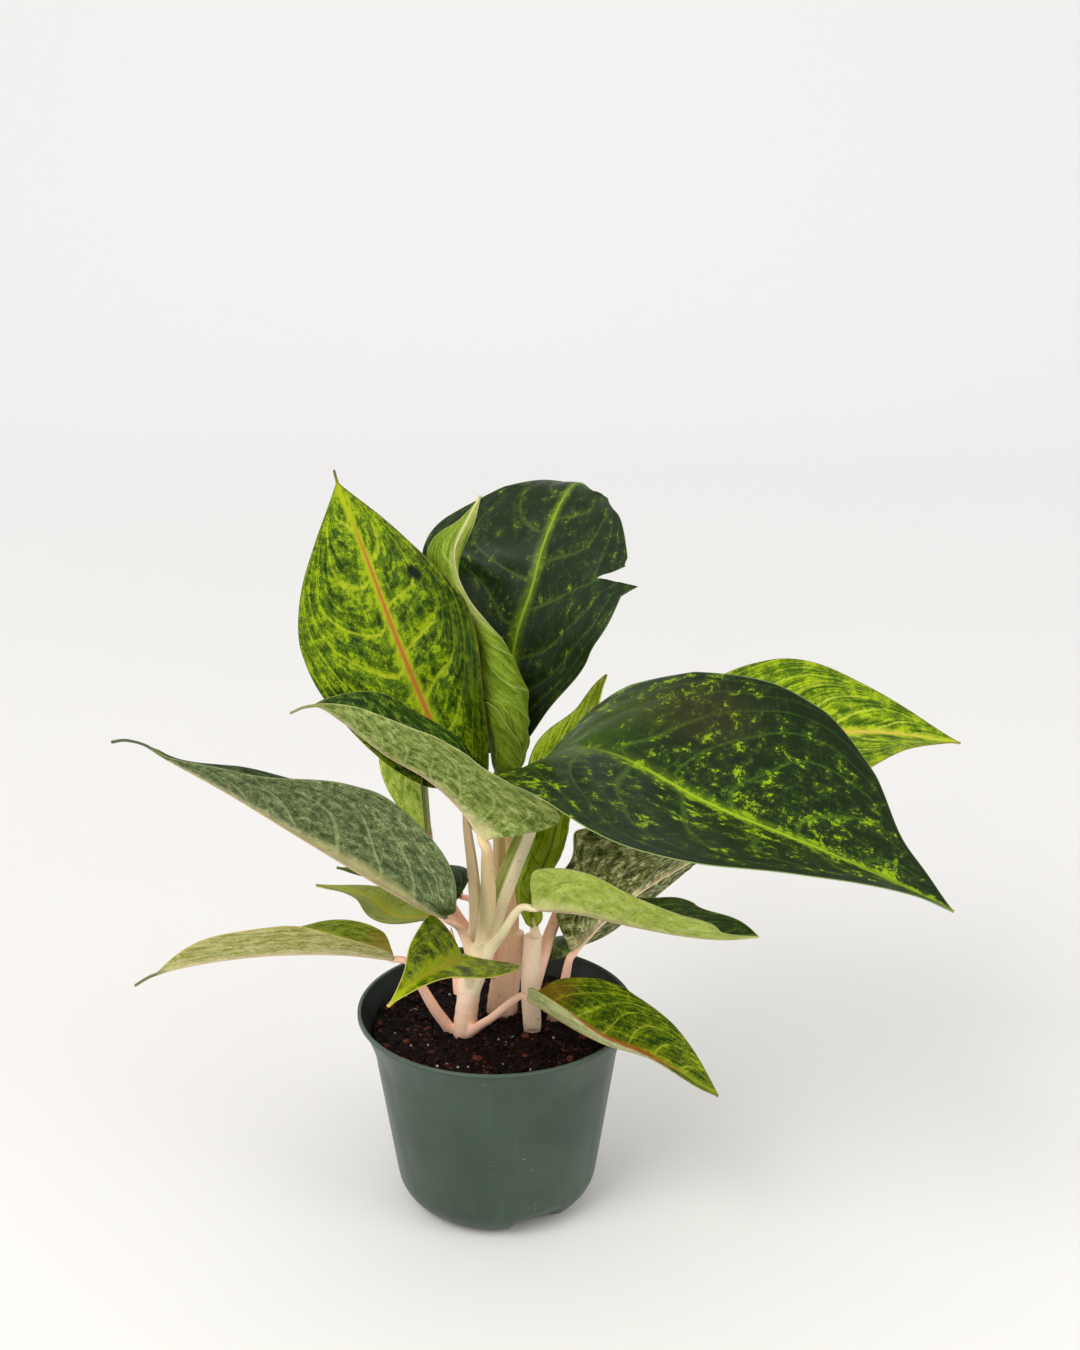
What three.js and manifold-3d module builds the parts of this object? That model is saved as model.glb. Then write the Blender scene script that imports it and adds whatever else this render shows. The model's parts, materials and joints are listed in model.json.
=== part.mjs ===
// Potted Chinese evergreen (Aglaonema) in a 6-inch green nursery pot.
// Millimetres, +Z up. The origin is the middle of the pot's flat base, on the table.
// +X is the viewer's right, -Y faces the viewer.

import * as THREE from 'three';
import { mergeVertices } from 'three/addons/utils/BufferGeometryUtils.js';
import Module from 'manifold-3d';

// ---------------------------------------------------------------- driving dimensions

const GAP = 0.3;                 // clear space between pieces that touch

// Pot: 152 mm across the rim, 114 mm tall
const RIM_RADIUS = 76;
const POT_HEIGHT = 114;
const LIP_HEIGHT = 2.2;
const LIP_WIDTH = 1.9;
const LIP_ROUND = 0.5;
const LIP_STEP = 0.3;
const KINK_HEIGHT = 87;          // where the straight wall turns into the flared rim
const KINK_RADIUS = 66.3;
const WALL_SLOPE = 0.15;         // millimetres of radius per millimetre of height
const WALL = 1.3;
const FLOOR = 1.4;
const FOOT_RADIUS = 20;          // rounding between base and wall
const FLARE_POWER = 1.4;
const FLARE_HEIGHTS = [93, 99, 105.5];
const BASE_RING = 30;            // radius of a ring of corners in the flat base
const POT_SIDES = 48;
const FOOT_STEPS = 5;

// Arches in the foot of the pot, with a drain hole in each
const ARCH_COUNT = 3;
const ARCH_FIRST = 27;           // degrees from the front towards the viewer's right
const ARCH_HALF_ANGLE = 20;      // degrees
const ARCH_CROWN = 0.55;         // share of that angle with the full rise
const ARCH_RISE = 4;
const ARCH_INNER_RADIUS = 24;
const ARCH_RAMP = 10;            // how far out from there the rise becomes full
const ARCH_FADE = [4, 22];       // heights in the foot between which the rise fades out
const DRAIN_RADIUS = 4;
const DRAIN_TILT = 135;          // degrees, square to the foot's rounding
const DRAIN_DEPTH = 14;
const DRAIN_SIDES = 16;
const DRAIN_CENTRE = [47, 9];    // radius and height

// Soil
const SOIL_HEIGHT = 100.5;
const SOIL_MOUND = 1.5;
const SOIL_ROUGH = 0.56;
const SOIL_WAVES = [0.21, 0.27, 0.43, 0.37];  // radians per millimetre: coarse x and y, fine x and y
const SOIL_EDGE = 0.9;           // the top's edge stands this far off the wall, beside the gap
const SOIL_SHOULDER = 94;
const MOUND_RADIUS = 68;
const SOIL_RINGS = 6;

// Stalks
const STALK_SIDES = 8;
const STALK_STEPS = 7;
const CANE_STEPS = 4;
const PETIOLE_LEAD = 7;          // last stretch of a petiole, in line with its blade's midrib
const PETIOLE_GAP = 0.4;
const PETIOLE_DROP = 1.1;        // a petiole meets the middle of the keel, below the upper side
const HOLE_EXTRA = 0.1;          // added to the gap round a stem in the soil

// Blades
const BLADE = 0.8;               // thickness between the veins
const KEEL = 1.5;                // how far the midrib stands out below, at the base
const KEEL_TAPER = 0.75;         // share of the midrib's height that is lost towards the tip
const THIN_TIP = { from: 0.95, share: 0.75 };
const COLUMNS = [0, 0.09, 0.5, 1];  // corners across each half, as shares of the half width
const BLADE_ROWS = 12;
const ROW_EVENNESS = 0.6;        // 1 spaces the rows evenly, less draws them towards base and tip
const BASE_HALF_WIDTH = 2.2;
const TIP_HALF_WIDTH = 0.35;
const LOBE_LENGTH = 0.3;         // share of the blade that its base lobes reach along
const LOBE_POWER = 1.5;
const POINT_TAPER = 1.6;
const TEAR_ROW_GAP = 1.6;
const STEP_ALONG = 1e-3;         // small steps along and across a blade, which give its slope
const STEP_ACROSS = 0.05;

const WELD_DISTANCE = 1e-4;

const STALK_PALE = { color: 0xe9d3b4, roughness: 0.5 };
const STALK_PINK = { color: 0xe3b79c, roughness: 0.5 };
const POT_GREEN = { color: 0x4f6d5b, roughness: 0.45 };
const SOIL_BROWN = { color: 0x2a1713, roughness: 1.0 };
const DARK_LEAF = { color: 0x24482a, roughness: 0.4 };
const LIME_LEAF = { color: 0x6f9a24, roughness: 0.4 };
const MID_LEAF = { color: 0x41692f, roughness: 0.4 };

// ---------------------------------------------------------------- helpers

const wasm = await Module();
wasm.setup();

const part = new THREE.Group();

function degrees(angle) {
  return THREE.MathUtils.degToRad(angle);
}

function smooth(value, low, high) {
  return THREE.MathUtils.smoothstep(value, low, high);
}

function vector(point) {
  return new THREE.Vector3(point[0], point[1], point[2]);
}

function curveThrough(points) {
  const curve = new THREE.CatmullRomCurve3(points.map(vector), false, 'centripetal');
  curve.arcLengthDivisions = 400;
  return curve;
}

function bareGeometry(positions, triangles) {
  const geometry = new THREE.BufferGeometry();
  geometry.setAttribute('position', new THREE.Float32BufferAttribute(positions, 3));
  geometry.setIndex(triangles);
  return geometry;
}

// A closed triangle mesh with shared corners merged and collapsed triangles dropped
function weld(geometry) {
  const bare = geometry.clone();
  bare.deleteAttribute('normal');
  bare.deleteAttribute('uv');
  const merged = mergeVertices(bare, WELD_DISTANCE);
  const index = merged.index.array;
  const kept = [];
  for (let i = 0; i < index.length; i += 3) {
    const [a, b, c] = [index[i], index[i + 1], index[i + 2]];
    if (a !== b && b !== c && c !== a) kept.push(a, b, c);
  }
  merged.setIndex(kept);
  return merged;
}

function toSolid(geometry) {
  const welded = weld(geometry);
  const mesh = new wasm.Mesh({
    numProp: 3,
    vertProperties: new Float32Array(welded.attributes.position.array),
    triVerts: new Uint32Array(welded.index.array),
  });
  return new wasm.Manifold(mesh);
}

function toGeometry(solid) {
  const mesh = solid.getMesh();
  return bareGeometry(Array.from(mesh.vertProperties), Array.from(mesh.triVerts));
}

function join(geometries) {
  const solids = geometries.map(toSolid);
  return solids.reduce((whole, solid) => whole.add(solid));
}

function addPiece(name, geometry, look) {
  const material = new THREE.MeshStandardMaterial({ metalness: 0, ...look });
  const mesh = new THREE.Mesh(geometry, material);
  mesh.name = name;
  part.add(mesh);
}

// A profile of [radius, height] points turned about the Z axis
function turn(profile, sides) {
  const points = profile.map(([radius, height]) => new THREE.Vector2(radius, height));
  const geometry = new THREE.LatheGeometry(points, sides);
  geometry.rotateX(Math.PI / 2);
  return weld(geometry);
}

// Turns every face of a mesh to its other side
function insideOut(geometry) {
  const index = geometry.index;
  for (let i = 0; i < index.count; i += 3) {
    const second = index.getX(i + 1);
    index.setX(i + 1, index.getX(i + 2));
    index.setX(i + 2, second);
  }
  return geometry;
}

// ---------------------------------------------------------------- pot

function wallRadius(height) {
  if (height < KINK_HEIGHT) return KINK_RADIUS - WALL_SLOPE * (KINK_HEIGHT - height);
  const share = (height - KINK_HEIGHT) / (POT_HEIGHT - KINK_HEIGHT);
  return KINK_RADIUS + (RIM_RADIUS - KINK_RADIUS) * Math.pow(share, FLARE_POWER);
}

// Centre of the foot's rounding, which touches the table and the sloping wall
const FOOT_CENTRE = wallRadius(FOOT_RADIUS) - FOOT_RADIUS * Math.hypot(1, WALL_SLOPE);

function footArc(radius) {
  const points = [];
  const end = Math.PI / 2 - Math.atan(WALL_SLOPE);
  for (let i = 0; i <= FOOT_STEPS; i++) {
    const angle = (end * i) / FOOT_STEPS;
    points.push([FOOT_CENTRE + radius * Math.sin(angle), FOOT_RADIUS - radius * Math.cos(angle)]);
  }
  return points;
}

// Height that the foot is pushed up by, in the arches
function archLift(x, y, z) {
  const radius = Math.hypot(x, y);
  const angle = THREE.MathUtils.radToDeg(Math.atan2(x, -y));
  let lift = 0;
  for (let k = 0; k < ARCH_COUNT; k++) {
    const centre = ARCH_FIRST + (360 / ARCH_COUNT) * k;
    const turnAway = Math.abs(((angle - centre + 540) % 360) - 180);
    lift = Math.max(lift, 1 - smooth(turnAway, ARCH_HALF_ANGLE * ARCH_CROWN, ARCH_HALF_ANGLE));
  }
  const outwards = smooth(radius, ARCH_INNER_RADIUS, ARCH_INNER_RADIUS + ARCH_RAMP);
  return ARCH_RISE * lift * outwards * (1 - smooth(z, ARCH_FADE[0], ARCH_FADE[1]));
}

function liftArches(geometry) {
  const position = geometry.attributes.position;
  for (let i = 0; i < position.count; i++) {
    const [x, y, z] = [position.getX(i), position.getY(i), position.getZ(i)];
    position.setZ(i, z + archLift(x, y, z));
  }
  return geometry;
}

// Heights where the wall above the foot changes its slope
const WALL_HEIGHTS = [KINK_HEIGHT, ...FLARE_HEIGHTS, POT_HEIGHT - LIP_HEIGHT];

function potProfile() {
  const outside = WALL_HEIGHTS.map((height) => [wallRadius(height), height]);
  const inside = WALL_HEIGHTS.map((height) => [wallRadius(height) - WALL, height]);
  const lip = [
    [RIM_RADIUS, POT_HEIGHT - LIP_HEIGHT + LIP_STEP],
    [RIM_RADIUS, POT_HEIGHT - LIP_ROUND],
    [RIM_RADIUS - LIP_ROUND, POT_HEIGHT],
    [RIM_RADIUS - LIP_WIDTH + LIP_ROUND, POT_HEIGHT],
    [RIM_RADIUS - LIP_WIDTH, POT_HEIGHT - LIP_ROUND],
  ];
  return [
    [0, 0],
    [ARCH_INNER_RADIUS, 0],
    [BASE_RING, 0],
    ...footArc(FOOT_RADIUS),
    ...outside,
    ...lip,
    ...inside.reverse(),
    ...footArc(FOOT_RADIUS - FLOOR).reverse(),
    [BASE_RING, FLOOR],
    [ARCH_INNER_RADIUS, FLOOR],
    [0, FLOOR],
  ];
}

// Round cutter through the foot, square to its rounding
function drainCutter(index) {
  const cutter = new THREE.CylinderGeometry(DRAIN_RADIUS, DRAIN_RADIUS, DRAIN_DEPTH, DRAIN_SIDES);
  const [radius, height] = DRAIN_CENTRE;
  const turned = degrees(ARCH_FIRST + (360 / ARCH_COUNT) * index);
  cutter.rotateZ(degrees(DRAIN_TILT));
  cutter.rotateX(Math.PI / 2);
  cutter.translate(radius, 0, height);
  cutter.rotateZ(turned - Math.PI / 2);
  return toSolid(cutter);
}

function makePot() {
  let pot = toSolid(liftArches(turn(potProfile(), POT_SIDES)));
  for (let k = 0; k < ARCH_COUNT; k++) pot = pot.subtract(drainCutter(k));
  return toGeometry(pot);
}

// ---------------------------------------------------------------- leaf blades

// Half width of a blade, as a share of its widest, from its base (0) to its tip (1)
function outline(t, { peak, round, point, base }) {
  if (t < peak) return base + (1 - base) * Math.pow(1 - Math.pow((peak - t) / peak, 2), round);
  return Math.pow(1 - Math.pow((t - peak) / (1 - peak), POINT_TAPER), point);
}

function threeWay([base, middle, tip], t) {
  return base + (middle - base) * smooth(t, 0, 0.5) + (tip - middle) * smooth(t, 0.5, 1);
}

// Point of a blade: t runs from base to tip, v across a half from midrib (0) to margin (1)
function bladePoint(leaf, curve, t, v, hand) {
  const half = hand < 0 ? leaf.left : leaf.right;
  const centre = curve.getPointAt(t);
  const along = curve.getTangentAt(t);
  const face = vector(leaf.face[0]).lerp(vector(leaf.face[1]), t);
  face.addScaledVector(along, -face.dot(along)).normalize();
  const side = along.clone().cross(face).multiplyScalar(hand);
  const share = outline(t, { ...leaf, ...half });
  let width = half.width * share * (1 - slit(leaf, t, hand)) * (1 - pinch(leaf, t));
  width = Math.max(width, THREE.MathUtils.lerp(BASE_HALF_WIDTH, TIP_HALF_WIDTH, t));
  const fold = degrees(threeWay(half.fold, t));
  const curl = degrees(threeWay(half.curl ?? [0, 0, 0], t));
  let across = v * Math.cos(fold);
  let above = v * Math.sin(fold);
  if (Math.abs(curl) > 0.01) {
    across = (Math.sin(fold + curl * v) - Math.sin(fold)) / curl;
    above = (Math.cos(fold) - Math.cos(fold + curl * v)) / curl;
  }
  const [height, count, phase] = half.wave ?? [0, 1, 0];
  const envelope = v * v * Math.sin(Math.PI * t);
  const ripple = height * Math.sin(2 * Math.PI * (count * t + phase)) * envelope;
  const point = centre.clone().addScaledVector(side, across * width);
  point.addScaledVector(face, above * width + ripple);
  const lobe = (half.lobe ?? 0) * Math.pow(v, LOBE_POWER) * (1 - smooth(t, 0, LOBE_LENGTH));
  return point.addScaledVector(along, -lobe);
}

// The neck of a blade that is still rolled up, as a share of the half width that it takes away
function pinch(leaf, t) {
  if (!leaf.pinch) return 0;
  const { at, depth, spread } = leaf.pinch;
  return depth * Math.exp(-Math.pow((t - at) / spread, 2));
}

// A tear in the margin, as a share of the half width that it takes away
function slit(leaf, t, hand) {
  if (!leaf.tear || leaf.tear.hand !== hand) return 0;
  return leaf.tear.depth * Math.max(0, 1 - Math.abs(t - leaf.tear.at) / leaf.tear.half);
}

function bladeRows(leaf) {
  const rows = [];
  const count = leaf.rows ?? BLADE_ROWS;
  for (let i = 0; i <= count; i++) {
    const even = i / count;
    rows.push(ROW_EVENNESS * even + ((1 - ROW_EVENNESS) / 2) * (1 - Math.cos(Math.PI * even)));
  }
  if (leaf.tear) {
    const { at, half } = leaf.tear;
    const near = rows.filter((t) => Math.abs(t - at) > half * TEAR_ROW_GAP);
    return [...near, at - half, at, at + half].sort((a, b) => a - b);
  }
  return rows;
}

// Which way the upper side faces at a point of a blade
function bladeNormal(leaf, curve, t, v, hand) {
  if (v === 0) {
    const face = vector(leaf.face[0]).lerp(vector(leaf.face[1]), t);
    const along = curve.getTangentAt(t);
    return face.addScaledVector(along, -face.dot(along)).normalize();
  }
  const ahead = bladePoint(leaf, curve, Math.min(1, t + STEP_ALONG), v, hand);
  ahead.sub(bladePoint(leaf, curve, Math.max(0, t - STEP_ALONG), v, hand));
  const outwards = bladePoint(leaf, curve, t, Math.min(1, v + STEP_ACROSS), hand);
  outwards.sub(bladePoint(leaf, curve, t, Math.max(0, v - STEP_ACROSS), hand));
  return outwards.multiplyScalar(hand).cross(ahead).normalize();
}

function makeBlade(leaf) {
  const curve = curveThrough(leaf.midrib);
  const rows = bladeRows(leaf);
  const left = COLUMNS.slice(1).reverse();
  const columns = [...left.map((v) => [v, -1]), ...COLUMNS.map((v) => [v, 1])];
  const positions = [];
  for (const lower of [false, true]) {
    for (const t of rows) {
      for (const [v, hand] of columns) {
        const here = bladePoint(leaf, curve, t, v, hand);
        if (lower) {
          const keel = v === 0 ? KEEL * (1 - KEEL_TAPER * t) : 0;
          const thin = t > THIN_TIP.from ? THIN_TIP.share : 1;
          here.addScaledVector(bladeNormal(leaf, curve, t, v, hand), -(BLADE + keel) * thin);
        }
        positions.push(here.x, here.y, here.z);
      }
    }
  }
  const wide = columns.length;
  const layer = rows.length * wide;
  const top = (i, j) => i * wide + j;
  const low = (i, j) => layer + i * wide + j;
  const triangles = [];
  const quad = (a, b, c, d) => triangles.push(a, b, c, a, c, d);
  for (let i = 0; i + 1 < rows.length; i++) {
    for (let j = 0; j + 1 < wide; j++) {
      quad(top(i, j), top(i, j + 1), top(i + 1, j + 1), top(i + 1, j));
      quad(low(i + 1, j + 1), low(i, j + 1), low(i, j), low(i + 1, j));
    }
    quad(top(i, 0), top(i + 1, 0), low(i + 1, 0), low(i, 0));
    quad(top(i, wide - 1), low(i, wide - 1), low(i + 1, wide - 1), top(i + 1, wide - 1));
  }
  for (let j = 0; j + 1 < wide; j++) {
    quad(top(0, j), low(0, j), low(0, j + 1), top(0, j + 1));
    const end = rows.length - 1;
    quad(top(end, j), top(end, j + 1), low(end, j + 1), low(end, j));
  }
  return bareGeometry(positions, triangles);
}

// Each blade: its midrib from base to tip, the way its upper side faces at base and tip, and
// for each half the width (mm), the fold up from flat and the curl (degrees at base, middle, tip).
// The right half is on the right hand of someone looking from base to tip with the face upwards.
// wave: height, count and phase of the margin's ripple. lobe: how far a half's base corner reaches
// back. peak, round, point and base shape the outline, and a half may have its own.
const LEAVES = {
  leaf_upper_left: {
    look: LIME_LEAF,
    midrib: [[-19, 13, 238], [-31, 14, 267], [-51, 20, 317], [-68, 27, 364], [-83, 35, 402]],
    face: [[-0.5, -0.84, 0.22], [-0.5, -0.86, 0.17]],
    left: { width: 54, fold: [6, 12, 22], wave: [1, 2.5, 0.1] },
    right: { width: 50, fold: [18, 4, 18], lobe: 10, wave: [1.2, 2.2, 0.6] },
    peak: 0.55, round: 0.65, point: 1.12, base: 0.16,
  },
  leaf_top_dark: {
    look: DARK_LEAF,
    midrib: [[4, 40, 247], [11, 48, 310], [20, 55, 338], [26, 64, 359], [38, 80, 382], [46, 93, 386],
      [58, 101, 374]],
    face: [[-0.23, -0.58, 0.78], [-0.19, 0.09, 0.98]],
    left: { width: 66, fold: [25, 24, 1], lobe: 5, point: 1.05, wave: [0.8, 2.2, 0.3] },
    right: {
      width: 61, fold: [28, 3, -30], wave: [0.8, 2.6, 0],
      round: 0.85, peak: 0.56, point: 1.25, base: 0.1,
    },
    peak: 0.6, round: 0.64, point: 1.16, base: 0.24, rows: 14,
    tear: { hand: 1, at: 0.57, half: 0.03, depth: 0.38 },
  },
  leaf_top_rolled: {
    look: MID_LEAF,
    midrib: [[0, 11, 252], [7, 20, 277], [14, 20, 294], [10, 14, 316], [1, 12, 328], [-13, 10, 342],
      [-22, 11, 358], [-24, 13, 368], [-15, 15, 382], [-6, 18, 395]],
    face: [[0.6, -0.8, 0], [-3, -0.6, 0]],
    left: { width: 43, fold: [0, 0, -130], curl: [168, 170, 0] },
    right: { width: 40, fold: [0, 0, 130], curl: [170, 176, 0] },
    peak: 0.3, round: 0.6, point: 1.3, base: 0.45, rows: 15,
    pinch: { at: 0.6, depth: 0.8, spread: 0.15 },
  },
  leaf_mid_left: {
    look: MID_LEAF,
    midrib: [[-4, -44, 230], [-14, -44, 247], [-31, -44, 264], [-52, -46, 278], [-73, -48, 294],
      [-100, -50, 301]],
    face: [[-0.33, 0.16, 0.93], [0, 0, 1]],
    left: { width: 52, fold: [36, 27, 40], lobe: 8, wave: [0.8, 2, 0.2] },
    right: { width: 51, fold: [25, 25, 29], lobe: 4, base: 0.3, round: 0.5, wave: [1, 2, 0.7] },
    peak: 0.54, round: 0.39, point: 1.06, base: 0.6,
  },
  leaf_long_left: {
    look: MID_LEAF,
    midrib: [[-33, -27, 181], [-47, -26, 191], [-92, -27, 221], [-139, -27, 252], [-192, -31, 283]],
    face: [[-0.76, 0.07, 0.65], [-0.69, 0, 0.72]],
    left: { width: 50.5, fold: [34, 48, 18], lobe: 9.5, wave: [1, 2.4, 0.1] },
    right: { width: 50.5, fold: [40, 27, 13], lobe: 14, base: 0.4, wave: [1, 2.2, 0.5] },
    peak: 0.36, round: 0.61, point: 1.17, base: 0.5,
  },
  leaf_low_left: {
    look: MID_LEAF,
    midrib: [[-54, -24, 155], [-80, -29, 162], [-126, -37, 166], [-164, -45, 161], [-186, -48, 152]],
    face: [[0, 0.12, 1], [0.2, 0.35, 0.9]],
    left: { width: 25.5, fold: [30, 46, 50], peak: 0.5, wave: [0.7, 2.5, 0.2] },
    right: { width: 25, fold: [41, 14, 5], wave: [0.7, 2.5, 0.6] },
    peak: 0.37, round: 0.58, point: 1.19, base: 0.3, rows: 10,
  },
  leaf_small_left: {
    look: LIME_LEAF,
    midrib: [[-27, 0, 169], [-55, 8, 164], [-71, 18, 171], [-100, 27, 174]],
    face: [[0, -0.13, 1], [-0.06, 0.23, 0.97]],
    left: { width: 16, fold: [19, 13, 3] },
    right: { width: 15.5, fold: [20, 12, 0] },
    peak: 0.39, round: 0.6, point: 1.18, base: 0.1, rows: 9,
  },
  leaf_hidden_left: {
    look: DARK_LEAF,
    midrib: [[-20, 42, 161], [-46, 46, 165], [-70, 49, 170], [-91, 51, 175]],
    face: [[0, 0, 1], [0, 0, 1]],
    left: { width: 15, fold: [30, 25, 10] },
    right: { width: 15, fold: [30, 25, 10] },
    peak: 0.4, round: 0.6, point: 1.2, base: 0.1, rows: 9,
  },
  leaf_back_left: {
    look: LIME_LEAF,
    midrib: [[-37, 33, 203], [-36, 34, 227], [-37, 36, 265], [-48, 42, 305]],
    face: [[-0.4, -0.9, 0.2], [-0.4, -0.9, 0.1]],
    left: { width: 28, fold: [16, 15, 10], wave: [0.8, 2, 0] },
    right: { width: 26, fold: [20, 15, 10], wave: [0.8, 2, 0.5] },
    peak: 0.37, round: 0.63, point: 1.2, base: 0.18, rows: 10,
  },
  leaf_small_front: {
    look: LIME_LEAF,
    midrib: [[-16, -33, 160], [-23, -59, 168], [-32, -83, 175], [-39, -105, 180], [-48, -120, 177]],
    face: [[0.22, -0.32, 0.92], [0.04, -0.43, 0.9]],
    left: { width: 34.5, fold: [19, 20, 19], lobe: 6 },
    right: { width: 27, fold: [38, 38, 39], base: 0.26 },
    peak: 0.2, round: 0.59, point: 1.4, base: 0.37, rows: 10,
  },
  leaf_large_right: {
    look: DARK_LEAF,
    midrib: [[27, -2, 259], [43, -23, 273], [64, -48, 277], [107, -86, 266], [161, -116, 253],
      [214, -136, 234]],
    face: [[0, -0.39, 0.92], [-0.15, 0.18, 0.97]],
    left: { width: 72.5, fold: [8, 31, 20], lobe: 7, wave: [1.2, 2.5, 0.1] },
    right: { width: 70, fold: [17, 9, 14], lobe: 13, wave: [1.2, 2.5, 0.6] },
    peak: 0.6, round: 0.59, point: 1.14, base: 0.4, rows: 14,
  },
  leaf_far_right: {
    look: LIME_LEAF,
    midrib: [[106, 32, 245], [157, 44, 254], [207, 53, 255], [260, 60, 246]],
    face: [[0, -0.62, 0.78], [0, -0.21, 0.98]],
    left: { width: 47.5, fold: [21, 21, 19], lobe: 3, wave: [1, 2.3, 0.1] },
    right: { width: 43, fold: [10, 6, 17], lobe: 3, wave: [0.8, 2.3, 0.5] },
    peak: 0.39, round: 0.61, point: 1.19, base: 0.29,
  },
  leaf_spear: {
    look: MID_LEAF,
    midrib: [[21, -2, 163], [19, 5, 177], [30, 16, 201], [40, 27, 244], [53, 35, 272], [60, 41, 292]],
    face: [[0.03, -0.83, 0.55], [-0.5, -0.74, 0.45]],
    left: { width: 22, fold: [45, 48, 31], curl: [58, 63, 23], lobe: 3.5 },
    right: { width: 19.5, fold: [44, 36, 41], curl: [47, 45, 42] },
    peak: 0.5, round: 0.6, point: 1.22, base: 0.4,
  },
  leaf_back_right: {
    look: MID_LEAF,
    midrib: [[42, 0, 146], [58, 21, 154], [85, 43, 167], [122, 64, 181], [152, 89, 200]],
    face: [[0.46, 0.84, 0.31], [-0.1, 0.5, 0.86]],
    left: { width: 57, fold: [38, 2, 0], base: 0.12, wave: [0.8, 2, 0.3] },
    right: { width: 63, fold: [37, 0, 0], wave: [0.8, 2, 0.6] },
    peak: 0.2, round: 0.54, point: 1.24, base: 0.31,
  },
  leaf_mid_right: {
    look: MID_LEAF,
    midrib: [[21, -28, 186], [45, -38, 188], [72, -49, 186], [99, -57, 184], [118, -59, 183],
      [134, -65, 187]],
    face: [[0.14, 0.65, 0.75], [-0.17, 0.07, 0.98]],
    left: { width: 35, fold: [42, 21, 23], lobe: 6, wave: [0.6, 2, 0.2] },
    right: { width: 35, fold: [38, 29, 27], lobe: 1, wave: [0.6, 2, 0.6] },
    peak: 0.56, round: 0.52, point: 0.94, base: 0.42,
  },
  leaf_low_right: {
    look: MID_LEAF,
    midrib: [[19, -37, 138], [37, -49, 131], [57, -58, 124], [84, -64, 117], [116, -73, 101]],
    face: [[0.29, 0.08, 0.95], [-0.04, -0.03, 1]],
    left: { width: 36, fold: [31, 29, 26], wave: [0.6, 2, 0.2] },
    right: { width: 33, fold: [42, 32, 20], lobe: 2, wave: [0.6, 2, 0.6] },
    peak: 0.35, round: 0.62, point: 1.01, base: 0.28,
  },
};

// ---------------------------------------------------------------- stalks

// Where a petiole ends: a short way back along the blade's midrib, behind its keel
function petioleEnd(leaf, back) {
  const curve = curveThrough(leaf.midrib);
  const along = curve.getTangentAt(0);
  const face = vector(leaf.face[0]);
  face.addScaledVector(along, -face.dot(along)).normalize();
  const point = curve.getPointAt(0).addScaledVector(along, -back);
  return point.addScaledVector(face, -PETIOLE_DROP).toArray();
}

// A round tube through points, with a radius given at evenly spaced stations
function stalkTube({ through, to, lead = PETIOLE_LEAD, radii, steps = STALK_STEPS }) {
  const points = [...through];
  if (to) points.push(petioleEnd(LEAVES[to], lead), petioleEnd(LEAVES[to], PETIOLE_GAP));
  const curve = curveThrough(points);
  const positions = [];
  const triangles = [];
  const side = new THREE.Vector3(1, 0, 0);
  for (let i = 0; i <= steps; i++) {
    const u = i / steps;
    const centre = curve.getPointAt(u);
    const along = curve.getTangentAt(u);
    side.addScaledVector(along, -side.dot(along)).normalize();
    const up = along.clone().cross(side);
    const station = u * (radii.length - 1);
    const low = Math.min(Math.floor(station), radii.length - 2);
    const radius = THREE.MathUtils.lerp(radii[low], radii[low + 1], station - low);
    for (let k = 0; k < STALK_SIDES; k++) {
      const angle = (2 * Math.PI * k) / STALK_SIDES;
      const point = centre.clone();
      point.addScaledVector(side, radius * Math.cos(angle));
      point.addScaledVector(up, radius * Math.sin(angle));
      positions.push(point.x, point.y, point.z);
    }
  }
  const corner = (i, k) => i * STALK_SIDES + (k % STALK_SIDES);
  for (let i = 0; i < steps; i++) {
    for (let k = 0; k < STALK_SIDES; k++) {
      triangles.push(corner(i, k), corner(i, k + 1), corner(i + 1, k + 1));
      triangles.push(corner(i, k), corner(i + 1, k + 1), corner(i + 1, k));
    }
  }
  for (let k = 1; k < STALK_SIDES - 1; k++) {
    triangles.push(corner(0, 0), corner(0, k + 1), corner(0, k));
    triangles.push(corner(steps, 0), corner(steps, k), corner(steps, k + 1));
  }
  return bareGeometry(positions, triangles);
}

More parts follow.
